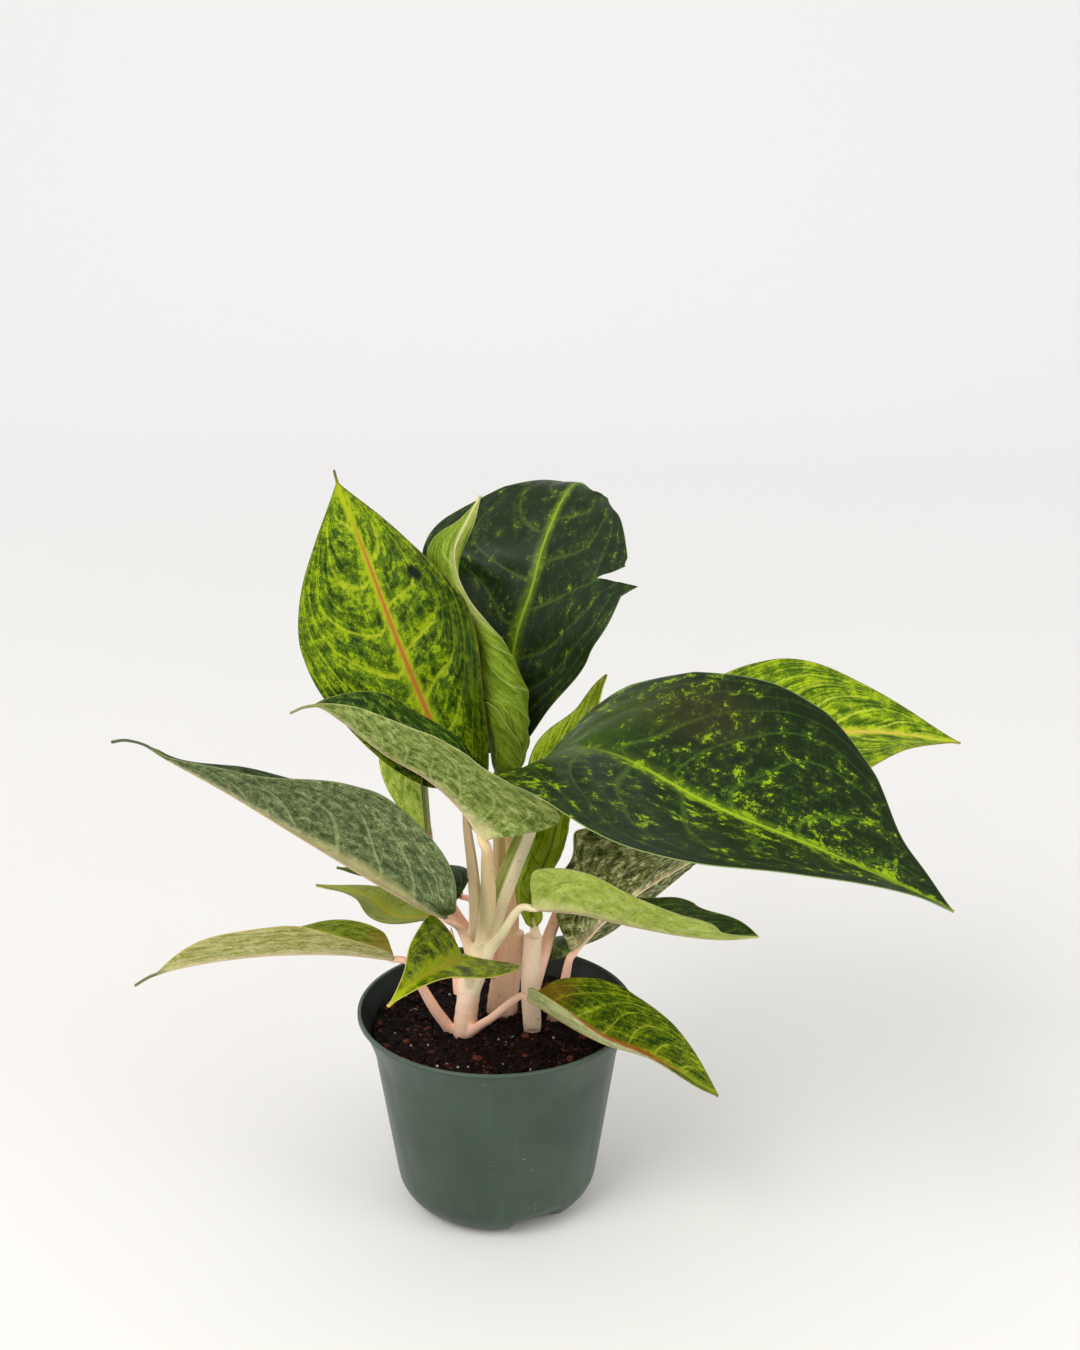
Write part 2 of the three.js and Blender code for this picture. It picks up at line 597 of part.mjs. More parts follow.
// Each petiole runs from inside its cane to the foot of its blade. Points in millimetres.
const SHOOTS = {
  stalks_front: {
    look: STALK_PALE,
    tubes: [
      { through: [[-18, -9, 78], [-17, -9, 102], [-15, -10, 122], [-11, -11, 142], [-8, -12, 150]],
        radii: [5.5, 6, 5.6, 5], steps: CANE_STEPS },
      { through: [[-16, -9, 126], [-12, -8, 146], [-10, -6, 166], [-12, 1, 196], [-15, 8, 217]],
        to: 'leaf_upper_left', radii: [4.5, 3.6, 2.6, 2.1, 1.3] },
      { through: [[-12, -12, 132], [-8, -13, 150], [-5, -18, 169], [-2, -27, 193]],
        to: 'leaf_mid_left', radii: [4.5, 3.6, 2.6, 2] },
      { through: [[-13, -11, 130], [-7, -14, 151], [1, -13, 180], [10, -10, 204], [18, -7, 225]],
        to: 'leaf_large_right', radii: [5, 5, 4.2, 3.2, 2.2] },
      { through: [[-13, -13, 136], [-6, -16, 148], [-2, -21, 158], [4, -26, 169]],
        to: 'leaf_mid_right', radii: [4, 2.9, 2.3, 1.8] },
      { through: [[-14, -10, 132], [-13, -12, 150], [-17, -17, 166]],
        to: 'leaf_long_left', radii: [4, 3, 2.4, 1.8] },
      { through: [[-13, -11, 130], [-14, -20, 145]],
        to: 'leaf_small_front', lead: 4, radii: [4, 2.6, 1.7], steps: CANE_STEPS },
      { through: [[-19, -5, 80], [-25, -5, 101], [-33, -8, 116], [-40, -12, 132]],
        to: 'leaf_low_left', radii: [3, 3.4, 3, 2.2, 1.7] },
      { through: [[-17, -8, 80], [-15, -12, 101], [-9, -18, 111], [-2, -24, 119]],
        to: 'leaf_low_right', lead: 4, radii: [2.6, 2.6, 2.2, 1.7] },
    ],
  },
  stalks_rear: {
    look: STALK_PINK,
    tubes: [
      { through: [[3, 16, 78], [3, 16, 104], [5, 17, 121], [8, 18, 142], [9, 19, 150]],
        radii: [6, 8, 7.5, 6], steps: CANE_STEPS },
      { through: [[7, 18, 130], [8, 23, 165], [6, 31, 198], [4, 37, 227]],
        to: 'leaf_top_dark', radii: [5, 4, 3, 1.9] },
      { through: [[6, 16, 130], [3, 12, 165], [2, 10, 204], [2, 11, 233]],
        to: 'leaf_top_rolled', radii: [5, 4, 3, 1.9] },
      { through: [[4, 18, 120], [-9, 22, 138], [-22, 23, 158], [-34, 29, 180]],
        to: 'leaf_back_left', radii: [5, 3, 2.2, 1.7] },
      { through: [[4, 17, 118], [-5, 12, 140], [-16, 7, 157]],
        to: 'leaf_small_left', lead: 4, radii: [5, 3, 2, 1.5] },
      { through: [[4, 19, 122], [-2, 26, 143], [-9, 34, 155]],
        to: 'leaf_hidden_left', lead: 4, radii: [5, 3, 2, 1.6] },
    ],
  },
  stalks_right: {
    look: STALK_PALE,
    tubes: [
      { through: [[20, -6, 78], [20, -5, 102], [19, -4, 128], [20, -3, 148]],
        to: 'leaf_spear', radii: [4.2, 4.4, 4.2, 2.2], steps: CANE_STEPS + 1 },
      { through: [[20, -4, 125], [25, 0, 141], [31, 12, 155], [51, 28, 192], [79, 32, 226]],
        to: 'leaf_far_right', radii: [3.8, 3.2, 2.6, 2.2, 2, 1.9] },
    ],
  },
  stalk_back_right: {
    look: STALK_PINK,
    tubes: [
      { through: [[29, 8, 78], [31, 7, 101], [36, 3, 117], [38, -1, 131]],
        to: 'leaf_back_right', lead: 4, radii: [3, 3.2, 2.6, 1.9] },
    ],
  },
};

function makeShoots() {
  for (const [name, shoot] of Object.entries(SHOOTS)) {
    addPiece(name, toGeometry(join(shoot.tubes.map(stalkTube))), shoot.look);
  }
}

// The lowest part of a shoot, made wider by the gap, which leaves its hole in the soil
function holeCutters() {
  const cutters = [];
  for (const shoot of Object.values(SHOOTS)) {
    for (const tube of shoot.tubes) {
      if (tube.through[0][2] < SOIL_HEIGHT) {
        const wider = tube.radii.map((radius) => radius + GAP + HOLE_EXTRA);
        const foot = vector(tube.through[0]);
        const next = vector(tube.through[1]);
        const lower = foot.clone().addScaledVector(foot.clone().sub(next).normalize(), GAP);
        cutters.push({ ...tube, through: [lower.toArray(), ...tube.through.slice(1)], radii: wider });
      }
    }
  }
  return cutters.map((tube) => toSolid(stalkTube(tube)));
}

// ---------------------------------------------------------------- soil

function soilTop(x, y) {
  const radius = Math.hypot(x, y);
  const mound = SOIL_MOUND * Math.cos((Math.PI / 2) * Math.min(1, radius / MOUND_RADIUS));
  const [coarseX, coarseY, fineX, fineY] = SOIL_WAVES;
  const coarse = Math.sin(x * coarseX) * Math.cos(y * coarseY);
  const fine = 0.6 * Math.sin(x * fineX - y * fineY);
  return SOIL_HEIGHT + mound + SOIL_ROUGH * (coarse + fine);
}

// Runs from the middle of the top out and down to the middle of the underside, as the inside of the
// pot's profile does, so that both surfaces split into the same triangles
function makeSoil() {
  const rimRadius = wallRadius(SOIL_HEIGHT) - WALL - GAP - SOIL_EDGE;
  const profile = [];
  for (let ring = 0; ring <= SOIL_RINGS; ring++) {
    profile.push([(rimRadius * ring) / SOIL_RINGS, SOIL_HEIGHT]);
  }
  for (const height of [SOIL_SHOULDER, KINK_HEIGHT]) {
    profile.push([wallRadius(height) - WALL - GAP, height]);
  }
  profile.push(...footArc(FOOT_RADIUS - FLOOR - GAP).reverse());
  for (const radius of [BASE_RING, ARCH_INNER_RADIUS, 0]) profile.push([radius, FLOOR + GAP]);
  const geometry = insideOut(liftArches(turn(profile, POT_SIDES)));
  const position = geometry.attributes.position;
  for (let i = 0; i < position.count; i++) {
    if (position.getZ(i) > SOIL_HEIGHT - 1) position.setZ(i, soilTop(position.getX(i), position.getY(i)));
  }
  let soil = toSolid(geometry);
  for (const cutter of holeCutters()) soil = soil.subtract(cutter);
  return toGeometry(soil);
}

// ---------------------------------------------------------------- assembly

addPiece('pot', makePot(), POT_GREEN);
addPiece('soil', makeSoil(), SOIL_BROWN);
makeShoots();
for (const [name, leaf] of Object.entries(LEAVES)) addPiece(name, makeBlade(leaf), leaf.look);

export default part;
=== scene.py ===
import json
import math

import bpy
import numpy as np
from mathutils import Euler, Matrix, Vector, noise


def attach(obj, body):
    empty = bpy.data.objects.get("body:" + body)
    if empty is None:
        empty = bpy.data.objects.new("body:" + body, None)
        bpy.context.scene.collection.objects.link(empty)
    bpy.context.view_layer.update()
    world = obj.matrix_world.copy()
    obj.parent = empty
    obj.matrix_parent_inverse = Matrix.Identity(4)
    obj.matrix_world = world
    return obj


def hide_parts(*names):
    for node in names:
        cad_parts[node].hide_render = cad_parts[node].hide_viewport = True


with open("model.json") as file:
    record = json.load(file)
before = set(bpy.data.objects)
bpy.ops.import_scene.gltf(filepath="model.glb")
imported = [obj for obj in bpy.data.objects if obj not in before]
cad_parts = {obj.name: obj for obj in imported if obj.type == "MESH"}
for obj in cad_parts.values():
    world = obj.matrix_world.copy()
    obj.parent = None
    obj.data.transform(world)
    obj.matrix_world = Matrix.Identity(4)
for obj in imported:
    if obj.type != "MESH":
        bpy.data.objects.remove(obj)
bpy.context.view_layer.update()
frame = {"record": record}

MM = 0.001

# ---- camera, floor and light, in metres

CAMERA_PLACE = (0.0242, -0.885, 0.580)
CAMERA_PITCH = 17.3  # degrees down from level
CAMERA_LENS = 47.65
SENSOR = 36.0
CAMERA_REACH = 50

FLOOR_HALF_WIDTH = 8.0
FLOOR_FRONT = -8.0
FLOOR_BACK = 2.2
BEND_RADIUS = 1.2  # behind the plant the floor bends up into a backdrop
BEND_STEPS = 16
BACKDROP_HEIGHT = 5.0
FLOOR_NEAR = ((228, 226, 223), (232, 230, 227))
# the colours that follow with the distance from the plant, and where each sets in and is full: painted light,
# darker near the plant where the lamps are strong and lighter far off and up the backdrop where less light
# falls
FLOOR_LIGHT_FADES = (((243, 242, 241), 0.2, 2.6), ((254, 254, 254), 3.4, 6.5))

WORLD_COLOUR = (1.0, 0.998, 0.998, 1)
WORLD_STRENGTH = 0.88
LIGHT_TARGET = (0, 0, 0.2)
# each light's place, diameter, watts and linear colour
LIGHTS = {
    "key": ((-1.1, -1.3, 1.8), 1.4, 29, (1.0, 0.99, 0.97)),
    "fill": ((1.6, -0.9, 1.0), 1.2, 10, (0.98, 0.99, 1.0)),
}


def add_object(name, data):
    thing = bpy.data.objects.new(name, data)
    bpy.context.scene.collection.objects.link(thing)
    return thing


def make_camera():
    data = bpy.data.cameras.new("camera")
    data.lens = CAMERA_LENS
    data.sensor_width = SENSOR
    data.clip_end = CAMERA_REACH
    camera = add_object("camera", data)
    camera.location = CAMERA_PLACE
    camera.rotation_euler = (math.radians(90 - CAMERA_PITCH), 0, 0)
    bpy.context.scene.camera = camera
    bpy.context.scene.view_settings.view_transform = "Standard"


def make_light(name, place, diameter, watts, tint):
    data = bpy.data.lights.new(name, "AREA")
    data.shape = "DISK"
    data.size, data.energy, data.color = diameter, watts, tint
    light = add_object(name, data)
    light.location = place
    light.rotation_euler = (Vector(LIGHT_TARGET) - Vector(place)).to_track_quat("-Z", "Y").to_euler()


def make_world():
    world = bpy.data.worlds.new("world")
    world.use_nodes = True
    background = world.node_tree.nodes["Background"]
    background.inputs["Color"].default_value = WORLD_COLOUR
    background.inputs["Strength"].default_value = WORLD_STRENGTH
    bpy.context.scene.world = world


def make_floor():
    profile = [(FLOOR_FRONT, 0.0), (FLOOR_BACK, 0.0)]
    for step in range(1, BEND_STEPS + 1):
        angle = math.pi / 2 * step / BEND_STEPS
        profile.append((FLOOR_BACK + BEND_RADIUS * math.sin(angle), BEND_RADIUS * (1 - math.cos(angle))))
    profile.append((FLOOR_BACK + BEND_RADIUS, BACKDROP_HEIGHT))
    corners = [(side * FLOOR_HALF_WIDTH, y, z) for y, z in profile for side in (-1, 1)]
    faces = [(2 * i, 2 * i + 1, 2 * i + 3, 2 * i + 2) for i in range(len(profile) - 1)]
    make_mesh("floor", np.array(corners) / MM, faces, floor_material())


def floor_material():
    shader = Shader("floor_paper")
    place = shader.place()
    x, y, _ = shader.split(place)
    away = shader.math("SQRT", x * x + y * y)
    colour = shader.mix(shader.noise(place, 3, 2, 0.5), *FLOOR_NEAR)
    # painted light: the floor is painted lighter with its distance from the plant
    colour = shader.layers(colour, *((away.ramp(start, end), tint) for tint, start, end in FLOOR_LIGHT_FADES))
    return shader.finish(colour, 0.9, 0.5)


# ---- shader building


def linear(red, green, blue):
    """An sRGB colour as a linear RGBA colour."""
    parts = []
    for part in (red, green, blue):
        share = part / 255
        parts.append(share / 12.92 if share <= 0.04045 else ((share + 0.055) / 1.055) ** 2.4)
    return (*parts, 1.0)


class Value:
    """What a node gives, so that a material can be written as arithmetic."""

    def __init__(self, shader, socket):
        self.shader = shader
        self.socket = socket

    def __add__(self, other):
        return self.shader.math("ADD", self, other)

    def __sub__(self, other):
        return self.shader.math("SUBTRACT", self, other)

    def __rsub__(self, other):
        return self.shader.math("SUBTRACT", other, self)

    def __mul__(self, other):
        return self.shader.math("MULTIPLY", self, other)

    def __truediv__(self, other):
        return self.shader.math("DIVIDE", self, other)

    def __abs__(self):
        return self.shader.math("ABSOLUTE", self)

    def ramp(self, low, high, start=0.0, end=1.0):
        """Goes smoothly from start to end as the value goes from low to high."""
        inputs = {"Value": self, "From Min": low, "From Max": high, "To Min": start, "To Max": end}
        return self.shader.node("MapRange", "Result", inputs, interpolation_type="SMOOTHSTEP")


class Shader:
    """Builds one node material."""

    def __init__(self, name):
        self.material = bpy.data.materials.new(name)
        self.material.use_nodes = True
        self.tree = self.material.node_tree
        self.surface = self.tree.nodes["Principled BSDF"]

    def link(self, value, socket):
        if isinstance(value, Value):
            self.tree.links.new(value.socket, socket)
        else:
            socket.default_value = linear(*value) if socket.type == "RGBA" else value

    def set(self, name, value):
        self.link(value, self.surface.inputs[name])

    def node(self, kind, output, inputs=None, **settings):
        node = self.tree.nodes.new("ShaderNode" + kind)
        for key, setting in settings.items():
            setattr(node, key, setting)
        for key, value in (inputs or {}).items():
            self.link(value, node.inputs[key])
        return Value(self, node.outputs[output])

    def place(self):
        return self.node("TexCoord", "Object")

    def attribute(self, name, output="Vector"):
        return self.node("Attribute", output, attribute_name=name)

    def split(self, vector):
        first = self.node("SeparateXYZ", 0, {0: vector})
        return [Value(self, output) for output in first.socket.node.outputs]

    def join(self, *parts):
        return self.node("CombineXYZ", 0, dict(enumerate(parts)))

    def math(self, operation, *values):
        return self.node("Math", 0, dict(enumerate(values)), operation=operation)

    def noise(self, vector, scale, detail, roughness, distortion=0.0):
        """Scale is one number, or one for each axis."""
        if isinstance(scale, tuple):
            vector = self.node("VectorMath", 0, {0: vector, 1: scale}, operation="MULTIPLY")
            scale = 1.0
        inputs = {"Vector": vector, "Scale": scale, "Detail": detail, "Roughness": roughness}
        return self.node("TexNoise", "Fac", {**inputs, "Distortion": distortion})

    def mix(self, factor, first, second):
        return self.node("Mix", 2, {0: factor, 6: first, 7: second}, data_type="RGBA")

    def layers(self, colour, *coats):
        """Lays coats of colour over the first, each as thick as its share."""
        for share, tint in coats:
            colour = self.mix(share, colour, tint)
        return colour

    def finish(self, colour, roughness, shine, height=None, strength=0.0, depth=0.0):
        """Gives the material, with small unevenness up to a depth from the height's values."""
        self.set("Base Color", colour)
        self.set("Roughness", roughness)
        self.set("Specular IOR Level", shine)
        if height:
            inputs = {"Height": height, "Strength": strength, "Distance": depth * MM}
            self.set("Normal", self.node("Bump", "Normal", inputs))
        return self.material


# ---- curves and small helpers


def smooth(value, low, high):
    share = np.clip((value - low) / (high - low), 0, 1)
    return share * share * (3 - 2 * share)


def three_way(values, t, hold=0.5):
    base, middle, tip = values
    return base + (middle - base) * smooth(t, 0, 0.5) + (tip - middle) * smooth(t, hold, 1)


def unit(vectors):
    return vectors / np.maximum(np.linalg.norm(vectors, axis=-1, keepdims=True), 1e-9)


def noise_at(points, scale, seed):
    flat = points.reshape(-1, 3)
    values = [noise.noise(Vector(point) * scale + Vector((seed, 2 * seed, 0))) for point in flat.tolist()]
    return np.array(values).reshape(points.shape[:-1])


class Route:
    """A centripetal Catmull-Rom curve through points, measured along its length from 0 to 1."""

    STEPS = 240

    def __init__(self, points):
        points = [np.asarray(point, float) for point in points]
        points = [2 * points[0] - points[1], *points, 2 * points[-1] - points[-2]]
        spans = len(points) - 3
        share = np.linspace(0, 1, self.STEPS // spans + 1)[:, None]
        pieces = []
        for k in range(spans):
            p0, p1, p2, p3 = points[k:k + 4]
            d0, d1, d2 = (max(np.dot(b - a, b - a) ** 0.25, 1e-4) for a, b in ((p0, p1), (p1, p2), (p2, p3)))
            t1 = ((p1 - p0) / d0 - (p2 - p0) / (d0 + d1) + (p2 - p1) / d1) * d1
            t2 = ((p2 - p1) / d1 - (p3 - p1) / (d1 + d2) + (p3 - p2) / d2) * d1
            c2 = -3 * p1 + 3 * p2 - 2 * t1 - t2
            c3 = 2 * p1 - 2 * p2 + t1 + t2
            piece = p1 + t1 * share + c2 * share ** 2 + c3 * share ** 3
            pieces.append(piece if k == 0 else piece[1:])
        self.points = np.concatenate(pieces)
        lengths = np.linalg.norm(np.diff(self.points, axis=0), axis=1)
        travelled = np.concatenate([[0], np.cumsum(lengths)])
        self.length = travelled[-1]
        self.share = travelled / self.length
        self.slopes = unit(np.gradient(self.points, self.share, axis=0))

    def at(self, t):
        places, slopes = (np.stack([np.interp(t, self.share, line[:, k]) for k in range(3)], -1)
                          for line in (self.points, self.slopes))
        return places, unit(slopes)


def set_attribute(mesh, name, values):
    layer = mesh.attributes.new(name, "FLOAT_VECTOR", "POINT")
    layer.data.foreach_set("vector", np.asarray(values, np.float32).ravel())


def corner_places(mesh):
    places = np.zeros(len(mesh.vertices) * 3, np.float32)
    mesh.vertices.foreach_get("co", places)
    return places.reshape(-1, 3) / MM


def make_mesh(name, corners, faces, material, attributes=None):
    mesh = bpy.data.meshes.new(name)
    mesh.from_pydata((np.asarray(corners) * MM).tolist(), [], [tuple(map(int, face)) for face in faces])
    mesh.shade_smooth()
    for key, values in (attributes or {}).items():
        set_attribute(mesh, key, values)
    mesh.materials.append(material)
    return add_object(name, mesh)


def apply_modifiers(piece):
    graph = bpy.context.evaluated_depsgraph_get()
    graph.update()
    mesh = bpy.data.meshes.new_from_object(piece.evaluated_get(graph))
    piece.modifiers.clear()
    piece.data = mesh
    return mesh


def finish_piece(piece, slot, node):
    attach(piece, "root")
    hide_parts(node)


# ---- leaves

PLAIN_BLADE = dict(corner=0.42, body=1, hold=0.5)


def half(width, fold, curl=(0, 0, 0), wave=(0, 1, 0), lobe=0, dents=(), **own):
    """Half a blade. Fold and curl are in degrees at its base, middle and tip: how far it stands up from
    flat, and how far it rolls on towards the margin. Wave is the height, count and phase of the margin's
    waves. Lobe is how far the base reaches back. Dents are [at, depth, spread] of narrower places."""
    return dict(width=width, fold=fold, curl=curl, wave=wave, lobe=lobe, dents=dents, **own)


# Each blade. midrib: points from base to tip. face: the way its upper side looks at base and tip.
# left, right: seen from above with the tip ahead. peak: share of the length where it is widest. base: its
# width at the foot as a share of that. round, point: lower is fuller, before and past the peak. corner:
# how far the base is rounded. body: where it ends and a thin tail begins. hold: where the middle's curl
# begins to pass into the tip's. tear: a cut that pulls in one half. A half may set its own outline.
LEAVES = {
    "upper_left": dict(
        midrib=[[-19, 13, 238], [-31, 14, 267], [-51, 20, 317], [-68, 27, 364], [-82, 35, 399],
                [-83.5, 36, 405]],
        face=[[-0.5, -0.84, 0.22], [-0.5, -0.86, 0.17]],
        left=half(54, [6, 12, 22], wave=[1, 2.5, 0.1]),
        right=half(50, [18, 4, 18], lobe=10, wave=[1.2, 2.2, 0.6]),
        peak=0.55, round=0.65, point=1.12, base=0.16, body=0.966),
    "top_dark": dict(
        midrib=[[4, 40, 247], [11, 48, 310], [20, 55, 338], [26, 64, 359], [38, 80, 383], [46, 93, 387.5],
                [58, 101, 376]],
        face=[[-0.23, -0.58, 0.78], [-0.19, 0.09, 0.98]],
        left=half(66, [25, 24, 3], lobe=5, point=1.05, wave=[0.8, 2.2, 0.3], dents=[[0.76, 0.06, 0.12]]),
        right=half(61, [28, 3, -30], wave=[0.8, 2.6, 0], round=0.85, peak=0.56, point=1.25, base=0.1,
                   dents=[[0.548, -0.14, 0.011], [0.47, -0.06, 0.06], [0.16, 0.12, 0.1],
                          [0.605, 0.05, 0.02], [0.83, 0.12, 0.03]]),
        peak=0.6, round=0.64, point=1.16, base=0.24,
        tear=dict(hand=1, at=0.558, before=0.008, after=0.04, depth=0.38)),
    "top_rolled": dict(
        midrib=[[2, 11, 246], [6, 19, 272], [11, 20, 294], [5, 14, 316], [-4, 12, 328], [-14, 10, 342],
                [-20, 11, 357], [-20, 13, 368], [-13, 15, 382], [-6, 18, 395]],
        face=[[0.6, -0.8, 0], [-3, -0.6, 0]],
        left=half(48.4, [0, 0, -130], curl=[190, 190, 0], dents=[[0.63, 0.8, 0.12], [0.86, 0.5, 0.1]]),
        right=half(43.8, [0, 0, 130], curl=[190, 190, 0],
                   dents=[[0.6, 0.8, 0.15], [0.79, -0.46, 0.06], [0.9, 0.12, 0.05]]),
        peak=0.3, round=0.6, point=1.3, base=0.3, hold=0.6),
    "mid_left": dict(
        midrib=[[-4, -44, 230], [-14, -44, 247], [-31, -44, 264], [-52, -46, 278], [-73, -48, 296],
                [-85, -50, 304.5], [-92, -50, 304], [-99, -50, 300.8]],
        face=[[-0.33, 0.16, 0.93], [0, 0, 1]],
        left=half(52, [36, 27, 40], lobe=20, wave=[0.8, 2, 0.2], corner=0.5),
        right=half(51, [25, 25, 29], lobe=4, base=0.3, round=0.5, wave=[1, 2, 0.7], corner=0.8),
        peak=0.54, round=0.39, point=1.06, base=0.66, body=0.9),
    "long_left": dict(
        midrib=[[-26, -27, 180], [-42, -26, 188], [-92, -27, 221], [-137, -28, 251.5], [-166, -30, 270],
                [-176, -30, 277], [-186, -31, 279.8], [-193, -31, 278.7]],
        face=[[-0.76, 0.07, 0.65], [-0.69, 0, 0.72]],
        left=half(50.5, [34, 48, 18], lobe=14, wave=[1, 2.4, 0.1], corner=0.8),
        right=half(50.5, [30, 34, 13], lobe=18, base=0.6, corner=0.7, wave=[2, 2.2, 0.5]),
        peak=0.36, round=0.61, point=1.17, base=0.5, body=0.9),
    "low_left": dict(
        midrib=[[-54, -24, 155], [-80, -29, 160.5], [-120, -37, 163.5], [-150, -43, 162], [-168, -46, 159],
                [-178, -47.5, 156], [-186, -48, 151]],
        face=[[0, 0.12, 1], [0.2, 0.35, 0.9]],
        left=half(25, [30, 46, 50], peak=0.56, point=0.92, wave=[0.7, 2.5, 0.2], corner=0.8),
        right=half(25, [41, 14, 5], wave=[0.7, 2.5, 0.6], corner=0.8),
        peak=0.37, round=0.58, point=1.35, base=0.3, body=0.9),
    "small_left": dict(
        midrib=[[-27, 0, 169], [-55, 8, 164], [-71, 18, 171], [-100, 27, 174]],
        face=[[0, -0.13, 1], [-0.06, 0.23, 0.97]],
        left=half(16, [19, 13, 3]),
        right=half(15.5, [20, 12, 0]),
        peak=0.39, round=0.6, point=1.18, base=0.1),
    "hidden_left": dict(
        midrib=[[-20, 42, 161], [-46, 46, 165], [-70, 49, 170], [-91, 51, 175]], face=[[0, 0, 1], [0, 0, 1]],
        left=half(15, [30, 25, 10]),
        right=half(15, [30, 25, 10]),
        peak=0.4, round=0.6, point=1.2, base=0.1),
    "back_left": dict(
        midrib=[[-38, 33, 203], [-39, 34, 227], [-40, 36, 265], [-50, 42, 305]],
        face=[[-0.85, -0.48, 0.2], [-0.78, -0.58, 0.1]],
        left=half(47, [6, 6, 8], wave=[0.8, 2, 0]),
        right=half(20, [34, 30, 10], wave=[0.8, 2, 0.5]),
        peak=0.37, round=0.63, point=1.2, base=0.18),
    "small_front": dict(
        midrib=[[-16, -33, 160], [-23, -59, 168], [-32, -83, 175], [-39, -105, 180], [-48, -120, 177]],
        face=[[0.22, -0.32, 0.92], [0.04, -0.43, 0.9]],
        left=half(34.5, [19, 20, 19], lobe=6),
        right=half(27, [38, 38, 39], base=0.26),
        peak=0.2, round=0.59, point=1.4, base=0.37),
    "large_right": dict(
        midrib=[[27, -2, 259], [43, -23, 273], [64, -48, 277], [107, -86, 266], [161, -116, 253],
                [214, -136, 234]],
        face=[[0, -0.39, 0.92], [-0.15, 0.18, 0.97]],
        left=half(72.5, [8, 31, 20], lobe=7, wave=[1.2, 2.5, 0.1], dents=[[0.87, 0.14, 0.06]]),
        right=half(70, [9, 10, 14], lobe=14, base=0.55, corner=0.3, round=0.66, wave=[1.2, 2.5, 0.6]),
        peak=0.6, round=0.59, point=1.14, base=0.4),
    "far_right": dict(
        midrib=[[106, 32, 245], [157, 44, 254], [207, 53, 255], [260, 60, 246]],
        face=[[0, -0.62, 0.78], [0, -0.21, 0.98]],
        left=half(47.5, [21, 21, 19], lobe=3, wave=[1, 2.3, 0.1]),
        right=half(43, [10, 6, 17], lobe=3, wave=[0.8, 2.3, 0.5]),
        peak=0.39, round=0.61, point=1.19, base=0.29),
    "spear": dict(
        midrib=[[21, -2, 163], [19, 5, 177], [30, 16, 201], [40, 27, 244], [53, 35, 272], [60, 41, 292]],
        face=[[0.03, -0.83, 0.55], [-0.5, -0.74, 0.45]],
        left=half(30, [45, 40, 12], curl=[58, 50, 10], lobe=3.5, point=0.9, dents=[[0.84, 0.38, 0.13]]),
        right=half(19.5, [44, 36, 41], curl=[47, 45, 42]),
        peak=0.5, round=0.6, point=1.22, base=0.4),
    "back_right": dict(
        midrib=[[42, 0, 146], [58, 21, 154], [85, 43, 167], [122, 64, 181], [152, 89, 200]],
        face=[[0.46, 0.84, 0.31], [-0.1, 0.5, 0.86]],
        left=half(57, [38, 2, 0], base=0.12, wave=[0.8, 2, 0.3]),
        right=half(63, [37, 0, 0], wave=[0.8, 2, 0.6]),
        peak=0.2, round=0.54, point=1.24, base=0.31),
    "mid_right": dict(
        midrib=[[21, -28, 186], [45, -38, 188], [72, -49, 186], [99, -57, 184], [118, -59, 183],
                [134, -65, 187]],
        face=[[0.14, 0.65, 0.75], [-0.17, 0.07, 0.98]],
        left=half(35, [42, 21, 23], lobe=6, wave=[0.6, 2, 0.2], corner=0.8),
        right=half(35, [38, 29, 27], lobe=4, wave=[0.6, 2, 0.6], corner=0.7),
        peak=0.56, round=0.52, point=0.94, base=0.42),
    "low_right": dict(
        midrib=[[19, -37, 138], [37, -49, 131], [57, -58, 124], [84, -64, 117], [116, -73, 101]],
        face=[[0.29, 0.08, 0.95], [-0.04, -0.03, 1]],
        left=half(36, [31, 29, 26], wave=[0.6, 2, 0.2]),
        right=half(33, [42, 32, 20], lobe=2, wave=[0.6, 2, 0.6], corner=0.8),
        peak=0.35, round=0.62, point=1.01, base=0.28),
}

# Colour and veins of each blade. dark, mid, light: the upper side's mottling, and low_ the lower side's.
# bias: how much of it is light. patch: size of its blotches. contrast, fleck: strength of large and small
# ones. streak: how far they run lengthwise, lined: along the veins. islands: more light on the outer part
# beside the rib. halo: light around the veins. veins: how many. sweep: how far they run towards the tip,
# at first and near the margin. rib_wide: the rib's half width at its base. rib_reach: how far rib_edge
# spreads beside it. rib_from: where a rib that sets in late is full. tip: colour from tip_from on.
# gloss: roughness. shine: specular level.
# stains_and_shades: [across, along, reach across, reach along, colour, strength], above or on "both" sides.
# Most are stains of the leaf's own colour; some are dark patches of painted shade.
PLAIN = dict(
    streak=0.12, lined=0.8, contrast=1, fleck=1.25, halo=1, shine=0.12, rib_wide=2, rib_reach=5, tip_from=0.84,
    stains_and_shades=[])
LIME = dict(
    PLAIN, dark=(30, 54, 4), mid=(84, 112, 6), light=(150, 166, 14), bias=0.5, patch=8, vein=(176, 186, 34),
    rib=(196, 176, 60), rib_edge=(168, 178, 20), margin=(120, 110, 40), low_dark=(86, 108, 20),
    low=(124, 140, 40), low_light=(160, 170, 80), low_vein=(176, 184, 96), low_rib=(212, 196, 120), veins=7,
    sweep=[0.09, 0.5], gloss=0.42)
DARK = dict(
    PLAIN, dark=(24, 38, 16), mid=(42, 60, 20), light=(122, 146, 20), bias=0.2, patch=7, vein=(74, 98, 30),
    rib=(136, 156, 36), rib_edge=(92, 120, 22), margin=(84, 100, 40), low_dark=(50, 62, 24), low=(84, 98, 46),
    low_light=(126, 136, 84), low_vein=(138, 148, 94), low_rib=(196, 188, 124), veins=7, sweep=[0.16, 0.4],
    gloss=0.4)
